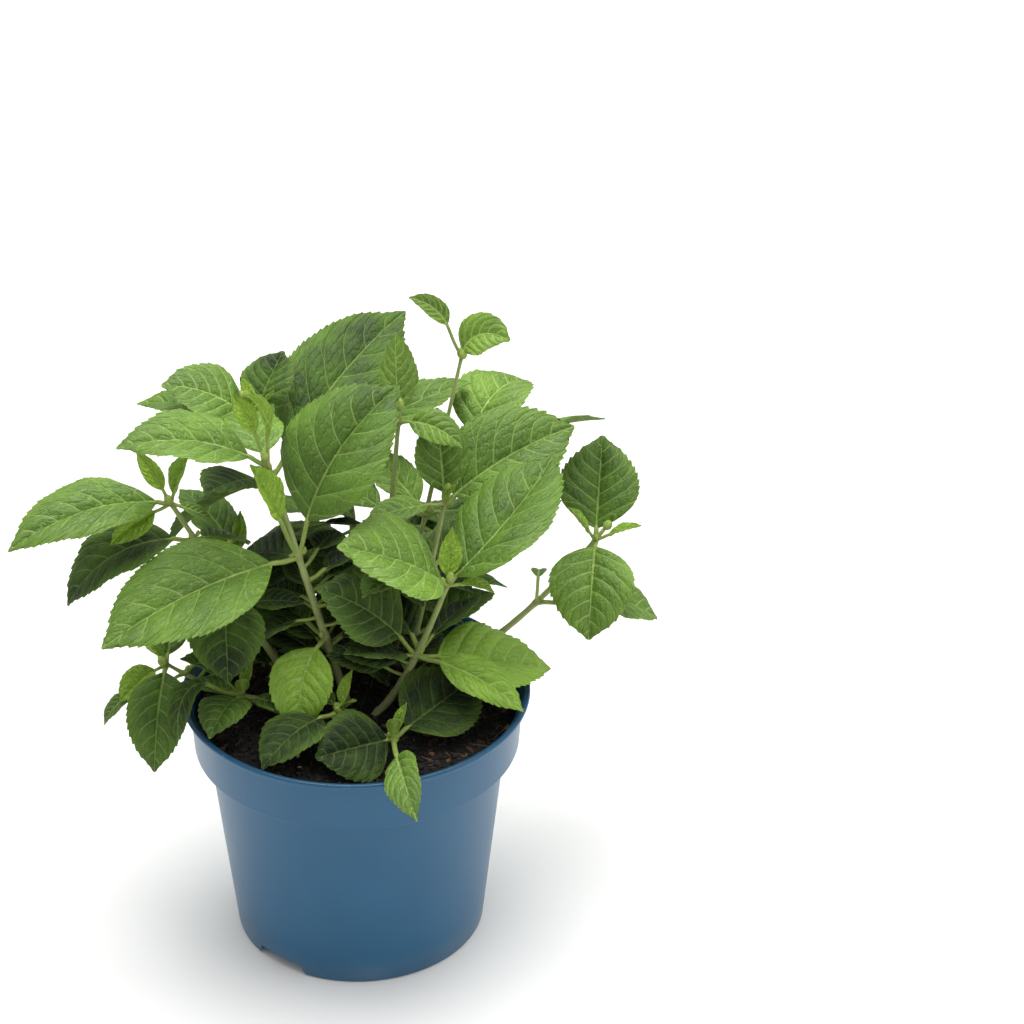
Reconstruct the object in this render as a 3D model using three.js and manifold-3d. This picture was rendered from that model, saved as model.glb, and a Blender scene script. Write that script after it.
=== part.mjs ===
// Young bigleaf hydrangea in a plastic nursery pot.
// Several leafy shoots rise from one clump in the pot, each with its leaves in opposite pairs.

import * as THREE from "three";
import { mergeVertices } from "three/addons/utils/BufferGeometryUtils.js";
import Module from "manifold-3d";

// Driving dimensions, in millimetres and degrees.
// Headings turn anticlockwise seen from above: 0 is +X, 90 is +Y. Rises are above the horizontal.

// Gap kept between pieces that touch
const GAP = 0.3;

// Pot
const POT_HEIGHT = 149;
const WALL = 2;
const BASE_RADIUS = 69.6;
const BASE_ROUNDING = 1;
const WALL_TOP_RADIUS = 81.8;
const COLLAR_FOOT_RADIUS = 89.2;
const COLLAR_FOOT_HEIGHT = 116.5;
const COLLAR_TOP_RADIUS = 90.8;
const LIP_RADIUS = 95;
const LIP_HEIGHT = 5.5;
const LIP_SLOPE = 3;
const LIP_EDGE = 0.8;
const LIP_TOP_WIDTH = 2.6;
const GUTTER_HEIGHT = 6.8;
const GUTTER_INNER_RADIUS = 40;
const GUTTER_OUTER_RADIUS = 65.5;
const GUTTER_SLOPE = 1;
const FLOOR_TOP = GUTTER_HEIGHT + WALL;
const DRAIN_RADIUS = 4.5;
const DRAIN_RING_RADIUS = 50.5;
const DRAIN_COUNT = 6;
const DRAIN_SIDES = 8;
const NOTCH_REACH = 17;
const NOTCH_WIDTH = 28;
const NOTCH_SPREAD = 1.43;
const NOTCH_HEIGHT = 6.6;
const NOTCH_HEADINGS = [229, 49];
const POT_SIDES = 40;

// Soil
const SOIL_TOP = 133;
const SOIL_EDGE_DROP = 2;
const SOIL_EDGE_WIDTH = 5;

// Leaf blades
const BLADE_THICKNESS = 0.011;
const BLADE_THINNEST = 0.6;
const BLADE_WIDTH = 0.56;
const BLADE_FOLD = 12;
const BLADE_BASE_POWER = 0.7;
const BLADE_TIP_POWER = 0.95;
const BLADE_STATIONS = [0.02, 0.14, 0.4, 0.72, 1];
const SMALL_BLADE_STATIONS = [0.02, 0.34, 1];
const SMALL_BLADE = 40;
const BLADE_TIP_WIDTH = 0.8;
const BLADE_DROOP = 30;
const MIDRIB_STEPS = 24;

// Leaf stalks and stems
const STALK_SIDES = 3;
const STALK_RADIUS = 1.25;
const SMALL_STALK_RADIUS = 0.875;
const STALK_SHARE = 0.15;
const STALK_TAPER = [1, 0.9, 0.6];
const STALK_SUNK = 0.12;
const STEM_SIDES = 6;
const STEM_STEPS = 4;
const STEM_TIP_TAPER = 0.55;
const STEM_SLOPE_STEP = 0.01;
const ASIDE = [0.001, 1, 0];
const BARE_BELOW_NODE = 9;

// Growth of the leaves: a leaf of a row may shift a little where something is in its way,
// and each shoot goes on in opposite pairs at the sides that face away
const CROWN_CENTRE = [-4, 20, 205];
const CROWN_REACH = [165, 118, 150];
const RIM_CLEARANCE = 2;
const LEAF_CLEARANCE = 0.5;
const STALK_START = 4;
const SMALL_SHIFTS = [0, 5, -5, 10, -10];
const TURN_TRIES = [0, 14, -14, 28, -28, 42, -42];
const RISE_TRIES = [0, 14, -14];
const YOUNG_LEAVES = 2;

// Size and posture of a grown leaf: least value and spread, or the spread alone.
// Its rise also goes up by riseAlong from the foot of its shoot to the tip.
const GROWN = {
  turn: 30, blade: [0.78, 0.3], rise: [5, 16], riseAlong: 30, droop: [25, 35], roll: 24,
};

// Size and posture of a young leaf at a shoot's tip
const YOUNG = { blade: [15, 10], width: 0.42, rise: [62, 18], droop: 10, turn: 45 };

// The shoots. A shoot leaves the soil at foot and moves sideways by reach along heading,
// while it climbs by height. bow above 1 leans it outward late, below 1 early.
// nodes are the places of its leaf pairs, from 0 at the soil to 1 at its tip.
const SHOOTS = [
  {
    name: "front_left", foot: [-5, 7], heading: 190, reach: 40, height: 158, bow: 1,
    radius: 2.5, nodes: [0.28, 0.61, 0.97], turn: 0, blade: 70,
    leaves: [
      { node: 0, heading: 232, rise: -20, stalk: 8, blade: 48, width: 36, droop: 60, sweep: 45 },
      { node: 0, heading: 140, rise: 16, stalk: 14, blade: 50, width: 38, droop: 30, roll: -20 },
      { node: 1, heading: 208, rise: 3, stalk: 16, blade: 103, width: 60, droop: 30, roll: -20 },
      {
        node: 1, heading: 20, rise: 76, stalk: 22, blade: 90, width: 64, droop: 56,
        sweep: 16, roll: 21,
      },
      {
        node: 1, heading: 212, rise: 68, stalk: 28, blade: 42, width: 22, droop: 3,
        roll: -56, young: true,
      },
      { node: 1, heading: 120, rise: -20, stalk: 8, blade: 63, width: 34, droop: 10, roll: -30 },
      { node: 2, heading: 191, rise: 36, stalk: 12, blade: 72, width: 42, droop: 50, roll: -12 },
      { node: 2, heading: 95, rise: 15, stalk: 10, blade: 50, width: 32, droop: 30 },
      {
        node: 2, heading: 160, rise: 70, stalk: 20, blade: 24, width: 12, droop: 20,
        roll: -60, young: true,
      },
      {
        node: 2, heading: 225, rise: 87, stalk: 16, blade: 33, width: 15, droop: 50,
        roll: -50, young: true,
      },
    ],
  },
  {
    name: "front_right", foot: [9, -4], heading: 350, reach: 42, height: 88, bow: 0.7,
    radius: 2.4, nodes: [0.45, 0.97], turn: 0, blade: 80,
    leaves: [
      { node: 0, heading: 14, rise: -13, stalk: 12, blade: 68, width: 54, droop: 8, roll: 9 },
      { node: 0, heading: 336, rise: -6, stalk: 14, blade: 54, width: 25, droop: 36, roll: 20 },
      { node: 0, heading: 174, rise: 53, stalk: 14, blade: 54, width: 46, droop: 40, roll: -25 },
      { node: 0, heading: 205, rise: 20, stalk: 6, blade: 39, width: 31, droop: 5, roll: 10 },
      {
        node: 1, heading: 204, rise: 46, stalk: 4, blade: 66, width: 62, droop: 36,
        sweep: -19, roll: -17,
      },
      { node: 1, heading: 19, rise: 43, stalk: 6, blade: 88, width: 58, droop: 20, sweep: 40 },
      {
        node: 1, heading: 67, rise: 80, stalk: 5, blade: 27, width: 14, droop: 10,
        roll: 30, young: true,
      },
      { node: 1, heading: 355, rise: 5, stalk: 7, blade: 19, width: 12, droop: 40, young: true },
    ],
  },
  {
    name: "left", foot: [-30, 12], heading: 177, reach: 66, height: 124, bow: 1,
    radius: 2.3, nodes: [0.6, 0.82, 1], turn: 20, blade: 64,
    leaves: [
      { node: 0, heading: 272, rise: -20, stalk: 10, blade: 48, width: 42, droop: 50 },
      { node: 0, heading: 95, rise: -25, blade: 48, droop: 20 },
      { node: 1, heading: 208, rise: 14, stalk: 12, blade: 72, width: 40, droop: 80, roll: -10 },
      { node: 1, heading: 50, rise: -15, blade: 42, droop: 30 },
      { node: 2, heading: 204, rise: 19, stalk: 8, blade: 86, width: 44, droop: 50, roll: -10 },
      { node: 2, heading: 0, rise: -20, stalk: 5, blade: 20, width: 14, droop: 20 },
      {
        node: 2, heading: 330, rise: 72, stalk: 6, blade: 30, width: 14, droop: 10,
        roll: 60, young: true,
      },
      {
        node: 2, heading: 213, rise: -12, stalk: 10, blade: 30, width: 16, droop: 20,
        roll: -50, young: true,
      },
      {
        node: 2, heading: 162, rise: 62, stalk: 8, blade: 26, width: 11, droop: 10,
        roll: -60, young: true,
      },
    ],
  },
  {
    name: "back_left", foot: [-15, 35], heading: 145, reach: 50, height: 160, bow: 1.1,
    radius: 2.2, nodes: [0.3, 0.72, 0.92], turn: 60, blade: 70,
    leaves: [
      { node: 1, heading: 46, rise: 42, stalk: 18, blade: 109, width: 58, droop: 29, roll: 25 },
      { node: 1, heading: 185, rise: -10, stalk: 8, blade: 62, width: 43, droop: 50, roll: 30 },
      { node: 1, heading: 230, rise: 25, stalk: 14, blade: 42, width: 37, droop: 25 },
      { node: 2, heading: 164, rise: 16, stalk: 8, blade: 59, width: 34, droop: 30 },
      { node: 2, heading: 187, rise: 58, stalk: 8, blade: 48, width: 40, droop: 50, roll: -20 },
      { node: 2, heading: 60, rise: 48, stalk: 8, blade: 36, width: 32, droop: 20 },
    ],
  },
  {
    name: "sprig", foot: [20, 46], heading: 5, reach: 40, height: 190, bow: 1,
    radius: 1.7, nodes: [0.25, 0.5, 1], turn: 30, blade: 50,
    leaves: [
      { node: 2, heading: 336, rise: 78, stalk: 3, blade: 34, width: 24, droop: 110, roll: 50 },
      {
        node: 2, heading: 176, rise: 73, stalk: 20, blade: 27, width: 12, droop: 60,
        roll: -50, fold: 30,
      },
    ],
  },
  {
    name: "middle_back", foot: [12, 40], heading: 15, reach: 15, height: 163, bow: 1,
    radius: 2, nodes: [0.35, 0.6, 0.95], turn: 0, blade: 56,
    leaves: [
      { node: 2, heading: 336, rise: 12, stalk: 6, blade: 34, width: 20, droop: 60, roll: 30 },
      { node: 2, heading: 94, rise: 80, stalk: 5, blade: 44, width: 26, droop: 10, roll: 30 },
    ],
  },
  {
    name: "middle_right", foot: [25, 12], heading: 35, reach: 32, height: 118, bow: 1,
    radius: 2.2, nodes: [0.28, 0.6, 0.95], turn: 10, blade: 66,
    leaves: [
      { node: 2, heading: 22, rise: 35, stalk: 6, blade: 78, width: 56, droop: 30, roll: 35 },
      { node: 2, heading: 206, rise: 8, stalk: 10, blade: 36, width: 24, droop: 20 },
      { node: 2, heading: 100, rise: 72, stalk: 6, blade: 46, width: 30, droop: 10 },
    ],
  },
  {
    name: "back_right", foot: [32, 50], heading: 42, reach: 44, height: 122, bow: 1,
    radius: 2.2, nodes: [0.6, 0.95], turn: 120, blade: 70,
    leaves: [
      { node: 0, heading: 190, rise: 0, blade: 44, droop: 30 },
      { node: 0, heading: 100, rise: 0, blade: 50, droop: 30 },
      { node: 1, heading: 10, rise: 22, stalk: 12, blade: 70, width: 38, droop: 30, roll: -30 },
      { node: 1, heading: 50, rise: 60, stalk: 12, blade: 56, width: 46, droop: 90 },
    ],
  },
  {
    name: "right", foot: [22, 22], heading: 19, reach: 125, height: 75, bow: 0.54,
    radius: 2.1, nodes: [0.48, 0.92], turn: 0, blade: 60,
    leaves: [
      { node: 0, heading: 358, rise: 5, stalk: 30, blade: 42, width: 40, droop: 50 },
      { node: 0, heading: 83, rise: 20, stalk: 18, blade: 18, width: 9, droop: 80 },
      { node: 1, heading: 81, rise: 52, stalk: 6, blade: 54, width: 46, droop: 10 },
      { node: 1, heading: 261, rise: -21, stalk: 5, blade: 55, width: 48, droop: 50 },
      { node: 1, heading: 347, rise: 28, stalk: 8, blade: 20, width: 10, droop: 10, young: true },
      { node: 1, heading: 171, rise: 49, stalk: 6, blade: 20, width: 12, droop: 0, young: true },
    ],
  },
  {
    name: "low_left", foot: [-45, 12], heading: 184, reach: 58, height: 28, bow: 0.6,
    radius: 1.8, nodes: [0.75, 1], turn: 0, blade: 40,
    leaves: [
      { node: 0, heading: 200, rise: -12, stalk: 30, blade: 24, width: 14, droop: 60 },
      { node: 1, heading: 262, rise: -14, stalk: 6, blade: 58, width: 34, droop: 60 },
      { node: 1, heading: 112, rise: 10, stalk: 4, blade: 26, width: 16, droop: 10, young: true },
      {
        node: 1, heading: 222, rise: -8, stalk: 7, blade: 26, width: 18, droop: 30,
        roll: -30, young: true,
      },
    ],
  },
  {
    name: "low_front_left", foot: [-38, -2], heading: 190, reach: 24, height: 15, bow: 0.8,
    radius: 1.6, nodes: [1], turn: 0, blade: 34,
    leaves: [
      { node: 0, heading: 164, rise: 12, stalk: 6, blade: 25, width: 16, droop: 20 },
      { node: 0, heading: 250, rise: 20, stalk: 8, blade: 42, width: 28, droop: 50 },
      { node: 0, heading: 330, rise: 8, stalk: 8, blade: 26, width: 18, droop: 20 },
      { node: 0, heading: 195, rise: 55, stalk: 17, blade: 29, width: 20, droop: 40 },
      { node: 0, heading: 230, rise: 38, stalk: 30, blade: 46, width: 15, droop: 150, sweep: 50 },
    ],
  },
  {
    name: "low_front", foot: [12, -25], heading: 287, reach: 24, height: 13, bow: 1,
    radius: 1.6, nodes: [1], turn: 0, blade: 40,
    leaves: [
      { node: 0, heading: 44, rise: 10, stalk: 10, blade: 58, width: 46, droop: 6, roll: 24 },
      { node: 0, heading: 200, rise: 1, stalk: 3, blade: 41, width: 42, droop: 4, roll: -36 },
      { node: 0, heading: 272, rise: 18, stalk: 33, blade: 51, width: 23, droop: 54, roll: 44, sweep: 18 },
    ],
  },
  {
    name: "low_front_stub", foot: [-3, -17], heading: 225, reach: 9, height: 15, bow: 1,
    radius: 1.6, nodes: [1], turn: 0, blade: 36,
    leaves: [
      { node: 0, heading: 236, rise: 12, stalk: 15, blade: 47, width: 34, droop: 50 },
      { node: 0, heading: 130, rise: 20, stalk: 5, blade: 22, width: 12 },
    ],
  },
  {
    name: "back", foot: [2, 48], heading: 95, reach: 45, height: 128, bow: 1.1,
    radius: 2.3, nodes: [0.3, 0.62, 0.92], turn: 10, blade: 78, leaves: [],
  },
  {
    name: "far_right", foot: [38, 50], heading: 55, reach: 45, height: 90, bow: 1.1,
    radius: 2.2, nodes: [0.45, 0.92], turn: 60, blade: 70,
    leaves: [
      { node: 0, heading: 80, rise: 5, blade: 56 },
      { node: 0, heading: 165, rise: 5, blade: 50 },
      { node: 1, heading: 70, rise: 15, blade: 66 },
    ],
  },
  {
    name: "far_left", foot: [-32, 46], heading: 140, reach: 45, height: 62, bow: 1.1,
    radius: 2.2, nodes: [0.45, 0.92], turn: 40, blade: 66, leaves: [],
  },
];

// Small vector helpers on plain [x, y, z] lists
const RADIANS = Math.PI / 180;
const add = (a, b) => [a[0] + b[0], a[1] + b[1], a[2] + b[2]];
const subtract = (a, b) => [a[0] - b[0], a[1] - b[1], a[2] - b[2]];
const scale = (a, s) => [a[0] * s, a[1] * s, a[2] * s];
const dot = (a, b) => a[0] * b[0] + a[1] * b[1] + a[2] * b[2];
const cross = (a, b) => [
  a[1] * b[2] - a[2] * b[1],
  a[2] * b[0] - a[0] * b[2],
  a[0] * b[1] - a[1] * b[0],
];
const unit = (a) => scale(a, 1 / Math.hypot(...a));

function direction(heading, rise) {
  const h = heading * RADIANS;
  const r = rise * RADIANS;
  return [Math.cos(r) * Math.cos(h), Math.cos(r) * Math.sin(h), Math.sin(r)];
}

// Seeded random numbers from 0 to 1
function seededRandom(seed) {
  let state = seed >>> 0;
  return () => {
    state = (state + 0x6d2b79f5) >>> 0;
    let mixed = Math.imul(state ^ (state >>> 15), state | 1);
    mixed = (mixed + Math.imul(mixed ^ (mixed >>> 7), mixed | 61)) ^ mixed;
    return ((mixed ^ (mixed >>> 14)) >>> 0) / 4294967296;
  };
}

// A closed solid through rings of points that all have the same count, with flat ends.
// The sides numbered in crossed are split along their other diagonal.
function solidFromRings(rings, endFaces, crossed) {
  const count = rings[0].length;
  const points = rings.flat();
  const faces = [];
  for (let ring = 0; ring + 1 < rings.length; ring += 1) {
    for (let side = 0; side < count; side += 1) {
      const a = ring * count + side;
      const b = ring * count + ((side + 1) % count);
      if (crossed.includes(side)) faces.push([a, b, a + count], [b, b + count, a + count]);
      else faces.push([a, b, b + count], [a, b + count, a + count]);
    }
  }
  const last = (rings.length - 1) * count;
  for (const [a, b, c] of endFaces) {
    faces.push([a, c, b], [last + a, last + b, last + c]);
  }
  return { points, faces };
}

// Triangles that close a ring of a stem
function fan(count) {
  return Array.from({ length: count - 2 }, (_, i) => [0, i + 1, i + 2]);
}

// A tapering round limb through a line of centres, with its way at each of them
function limbSolid(centres, radii, ways, sides) {
  const rings = centres.map((centre, i) => {
    const side = unit(cross(ways[i], ASIDE));
    const other = cross(ways[i], side);
    return Array.from({ length: sides }, (_, k) => {
      const angle = (k / sides) * 2 * Math.PI;
      const out = add(scale(side, Math.cos(angle)), scale(other, Math.sin(angle)));
      return add(centre, scale(out, radii[i]));
    });
  });
  return solidFromRings(rings, fan(sides), []);
}

// Half the blade's width along its midrib, as a share of its greatest half width
function bladeOutline(u) {
  const peak = BLADE_BASE_POWER / (BLADE_BASE_POWER + BLADE_TIP_POWER);
  const shape = (v) => v ** BLADE_BASE_POWER * (1 - v) ** BLADE_TIP_POWER;
  return shape(u) / shape(peak);
}

// The midrib's points and directions: it starts at the end of the stalk and droops evenly
function midrib(leaf) {
  const line = [];
  let point = add(leaf.root, scale(direction(leaf.heading, leaf.rise), leaf.stalk));
  for (let step = 0; step <= MIDRIB_STEPS; step += 1) {
    const u = step / MIDRIB_STEPS;
    line.push({ point, heading: leaf.heading + leaf.sweep * u, rise: leaf.rise - leaf.droop * u });
    const middle = u + 0.5 / MIDRIB_STEPS;
    const way = direction(leaf.heading + leaf.sweep * middle, leaf.rise - leaf.droop * middle);
    point = add(point, scale(way, leaf.blade / MIDRIB_STEPS));
  }
  return line;
}

// One station across the blade: its midrib point, the way to its left edge and its upward side
function bladeStation(leaf, line, u) {
  const place = u * MIDRIB_STEPS;
  const low = Math.min(Math.floor(place), MIDRIB_STEPS - 1);
  const share = place - low;
  const from = line[low];
  const to = line[low + 1];
  const point = add(scale(from.point, 1 - share), scale(to.point, share));
  const heading = from.heading + (to.heading - from.heading) * share;
  const rise = from.rise + (to.rise - from.rise) * share;
  const along = direction(heading, rise);
  const level = direction(heading + 90, 0);
  const above = cross(along, level);
  const roll = leaf.roll * RADIANS;
  const left = add(scale(level, Math.cos(roll)), scale(above, Math.sin(roll)));
  return { point, left, up: cross(along, left) };
}

// A blade of even thickness, folded a little along its midrib. Its underside is split
// into triangles as its upper side is, so that the two never cross.
const BLADE_END_FACES = [[0, 1, 4], [0, 4, 5], [1, 2, 3], [1, 3, 4]];
const BLADE_UNDERSIDES = [3, 4];

function bladeSolid(leaf, spare) {
  const line = midrib(leaf);
  const thickness = Math.max(leaf.blade * BLADE_THICKNESS, BLADE_THINNEST) + spare;
  const fold = leaf.fold * RADIANS;
  const stations = leaf.blade < SMALL_BLADE ? SMALL_BLADE_STATIONS : BLADE_STATIONS;
  const rings = stations.map((u) => {
    const { point, left, up } = bladeStation(leaf, line, u);
    const half = Math.max((leaf.width / 2) * bladeOutline(u), BLADE_TIP_WIDTH / 2) + spare / 2;
    const lift = scale(up, half * Math.sin(fold));
    const reach = scale(left, half * Math.cos(fold));
    const top = scale(up, thickness / 2);
    const leftEdge = add(add(point, reach), lift);
    const rightEdge = add(subtract(point, reach), lift);
    return [
      add(leftEdge, top), add(point, top), add(rightEdge, top),
      subtract(rightEdge, top), subtract(point, top), subtract(leftEdge, top),
    ];
  });
  return solidFromRings(rings, BLADE_END_FACES, BLADE_UNDERSIDES);
}

// The stalk, from inside the stem to a little way along the midrib
function stalkSolid(leaf, start) {
  const along = direction(leaf.heading, leaf.rise);
  const line = midrib(leaf);
  const sunk = bladeStation(leaf, line, STALK_SUNK).point;
  const centres = [add(leaf.root, scale(along, start)), line[0].point, sunk];
  const radii = STALK_TAPER.map((share) => leaf.stalkRadius * share);
  const inBlade = unit(subtract(sunk, line[0].point));
  return limbSolid(centres, radii, [along, along, inBlade], STALK_SIDES);
}

// A place on a shoot's stem, from 0 at the soil to 1 at the tip
function stemPoint(shoot, t) {
  const out = direction(shoot.heading, 0);
  const side = shoot.reach * t ** shoot.bow;
  return [
    shoot.foot[0] + out[0] * side,
    shoot.foot[1] + out[1] * side,
    SOIL_TOP + GAP + shoot.height * t,
  ];
}

function stemRadius(shoot, t) {
  return shoot.radius * (1 - (1 - STEM_TIP_TAPER) * t);
}

// How far a stem runs for a small step of its place, as a vector
function stemRun(shoot, t) {
  const low = Math.max(t - STEM_SLOPE_STEP, 0);
  const high = t + STEM_SLOPE_STEP;
  return scale(subtract(stemPoint(shoot, high), stemPoint(shoot, low)), 1 / (high - low));
}

// The stem's solid between two places on it
function stemSolid(shoot, from, to, steps) {
  const places = Array.from({ length: steps + 1 }, (_, i) => from + ((to - from) * i) / steps);
  const centres = places.map((t) => stemPoint(shoot, t));
  const radii = places.map((t) => stemRadius(shoot, t));
  const ways = places.map((t) => (t === 0 ? [0, 0, 1] : unit(stemRun(shoot, t))));
  return limbSolid(centres, radii, ways, STEM_SIDES);
}

// Fills in what a leaf's row leaves out
function completeLeaf(shoot, row) {
  const small = row.blade < SMALL_BLADE;
  return {
    stalk: row.blade * STALK_SHARE,
    width: row.blade * BLADE_WIDTH,
    droop: BLADE_DROOP,
    sweep: 0,
    roll: 0,
    fold: BLADE_FOLD,
    stalkRadius: small ? SMALL_STALK_RADIUS : STALK_RADIUS,
    root: stemPoint(shoot, shoot.nodes[row.node]),
    ...row,
  };
}

// Triangles of a solid with their box, for the tests of room between pieces
function guardOf(solids) {
  const triangles = [];
  const edges = [];
  for (const { points, faces } of solids) {
    for (const [a, b, c] of faces) {
      triangles.push([points[a], points[b], points[c]]);
      if (a < b) edges.push([points[a], points[b]]);
      if (b < c) edges.push([points[b], points[c]]);
      if (c < a) edges.push([points[c], points[a]]);
    }
  }
  const all = solids.flatMap((solid) => solid.points);
  const low = [0, 1, 2].map((axis) => Math.min(...all.map((point) => point[axis])));
  const high = [0, 1, 2].map((axis) => Math.max(...all.map((point) => point[axis])));
  return { triangles, edges, low, high };
}

function segmentMeetsTriangle([from, to], [a, b, c]) {
  const along = subtract(to, from);
  const ab = subtract(b, a);
  const ac = subtract(c, a);
  const across = cross(along, ac);
  const det = dot(ab, across);
  if (Math.abs(det) < 1e-12) return false;
  const offset = subtract(from, a);
  const u = dot(offset, across) / det;
  if (u < 0 || u > 1) return false;
  const turned = cross(offset, ab);
  const v = dot(along, turned) / det;
  if (v < 0 || u + v > 1) return false;
  const t = dot(ac, turned) / det;
  return t >= 0 && t <= 1;
}

function guardsMeet(one, two) {
  if ([0, 1, 2].some((i) => one.low[i] > two.high[i] || two.low[i] > one.high[i])) return false;
  const meets = (a, b) =>
    a.edges.some((edge) => b.triangles.some((triangle) => segmentMeetsTriangle(edge, triangle)));
  return meets(one, two) || meets(two, one);
}

// The room that a leaf needs: its blade and the outer part of its stalk
function leafGuard(leaf) {
  const start = Math.min(leaf.stalk / 2, STALK_START);
  return guardOf([bladeSolid(leaf, LEAF_CLEARANCE * 2), stalkSolid(leaf, start)]);
}

// True where a leaf clears the soil and the pot's rim
function clearsPot(leaf) {
  const { points, faces } = bladeSolid(leaf, 0);
  const middle = (a, b) => scale(add(points[a], points[b]), 1 / 2);
  const middles = faces.flatMap(([a, b, c]) => [middle(a, b), middle(b, c), middle(c, a)]);
  return [...points, ...middles].every(([x, y, z]) => {
    const radius = Math.hypot(x, y);
    if (radius < COLLAR_FOOT_RADIUS - WALL - RIM_CLEARANCE) return z > SOIL_TOP + RIM_CLEARANCE;
    return z > POT_HEIGHT + RIM_CLEARANCE || radius > LIP_RADIUS + RIM_CLEARANCE;
  });
}

// True where a leaf stays in the crown's space
function insideCrown(leaf) {
  return midrib(leaf).every(({ point }) => {
    const parts = point.map((value, i) => (value - CROWN_CENTRE[i]) / CROWN_REACH[i]);
    return Math.hypot(...parts) < 1;
  });
}

// Keeps a leaf where nothing is in its way
function placeLeaf(shoot, leaf, guards) {
  const guard = leafGuard(leaf);
  if (guards.some((other) => other.ownTip !== shoot && guardsMeet(guard, other))) return false;
  guards.push(guard);
  shoot.grown.push(leaf);
  return true;
}

// Tries a leaf in a few turns and rises, and skips it where none is free
function tryLeaf(shoot, row, guards, turns, rises, hasRoom) {
  for (const lift of rises) {
    for (const turn of turns) {
      const heading = row.heading + turn;
      const leaf = completeLeaf(shoot, { ...row, heading, rise: row.rise + lift });
      if (hasRoom(leaf) && placeLeaf(shoot, leaf, guards)) return;
    }
  }
}

// The missing leaves of a shoot's pairs, each pair a quarter turn from the one below,
// then the young pairs at its tip
function growShoot(shoot, random, guards) {
  const within = ([least, spread]) => least + spread * random();
  const around = (spread) => (random() - 0.5) * spread;
  const hasRoom = (leaf) => insideCrown(leaf) && clearsPot(leaf);
  const grow = (row) => tryLeaf(shoot, row, guards, TURN_TRIES, RISE_TRIES, hasRoom);
  shoot.nodes.forEach((place, node) => {
    const here = shoot.grown.filter((leaf) => leaf.node === node && !leaf.young);
    const start = here.length === 1 ? here[0].heading + 180 : shoot.turn + 90 * node;
    for (let side = here.length; side < 2; side += 1) {
      grow({
        node,
        heading: start + (here.length === 0 ? 180 * side : 0) + around(GROWN.turn),
        blade: shoot.blade * within(GROWN.blade),
        rise: GROWN.riseAlong * place + within(GROWN.rise),
        droop: within(GROWN.droop),
        roll: around(GROWN.roll),
      });
    }
  });
  const top = shoot.nodes.length - 1;
  if (shoot.grown.some((leaf) => leaf.node === top && leaf.young)) return;
  for (let side = 0; side < YOUNG_LEAVES; side += 1) {
    const blade = within(YOUNG.blade);
    grow({
      node: top,
      heading: shoot.turn + YOUNG.turn + side * 270,
      blade,
      width: blade * YOUNG.width,
      rise: within(YOUNG.rise),
      droop: YOUNG.droop,
      young: true,
    });
  }
}

// Places the leaves of the rows first, then lets every shoot grow on. A leaf keeps clear
// of every leaf and limb, but may touch the leafy tip that it grows from.
function growLeaves() {
  const guards = [];
  for (const shoot of SHOOTS) {
    const end = limbEnd(shoot);
    shoot.grown = [];
    guards.push(guardOf([stemSolid(shoot, 0, end, STEM_STEPS)]));
    guards.push({ ...guardOf([stemSolid(shoot, end, 1, STEM_STEPS)]), ownTip: shoot });
  }
  for (const shoot of SHOOTS) {
    for (const row of shoot.leaves) {
      tryLeaf(shoot, row, guards, SMALL_SHIFTS, SMALL_SHIFTS, clearsPot);
    }
  }
  SHOOTS.forEach((shoot, index) => growShoot(shoot, seededRandom(index + 1), guards));
}

growLeaves();

// Solids from the library that joins and cuts
const manifold = await Module();
manifold.setup();

function toManifold({ points, faces }) {
  return new manifold.Manifold(new manifold.Mesh({
    numProp: 3,
    vertProperties: new Float32Array(points.flat()),
    triVerts: new Uint32Array(faces.flat()),
  }));
}

function geometryToManifold(geometry) {
  const plain = geometry.index ? geometry.clone() : geometry;
  plain.deleteAttribute("normal");
  plain.deleteAttribute("uv");
  const merged = mergeVertices(plain, 1e-4);
  const points = merged.attributes.position;
  return new manifold.Manifold(new manifold.Mesh({
    numProp: 3,
    vertProperties: new Float32Array(points.array),
    triVerts: new Uint32Array(merged.index.array),
  }));
}

function toGeometry(solid) {
  const mesh = solid.getMesh();
  const geometry = new THREE.BufferGeometry();
  const positions = new Float32Array(mesh.numVert * 3);
  for (let i = 0; i < mesh.numVert; i += 1) {
    for (let axis = 0; axis < 3; axis += 1) {
      positions[i * 3 + axis] = mesh.vertProperties[i * mesh.numProp + axis];
    }
  }
  geometry.setAttribute("position", new THREE.BufferAttribute(positions, 3));
  geometry.setIndex(new THREE.BufferAttribute(new Uint32Array(mesh.triVerts), 1));
  geometry.computeVertexNormals();
  return geometry;
}

// A solid turned round the pot's axis from [radius, height] points that start and end on it
function turned(profile) {
  const outline = profile.map(([radius, height]) => new THREE.Vector2(radius, height));
  const lathe = new THREE.LatheGeometry(outline, POT_SIDES);
  lathe.rotateX(Math.PI / 2);
  return geometryToManifold(lathe);
}

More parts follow.
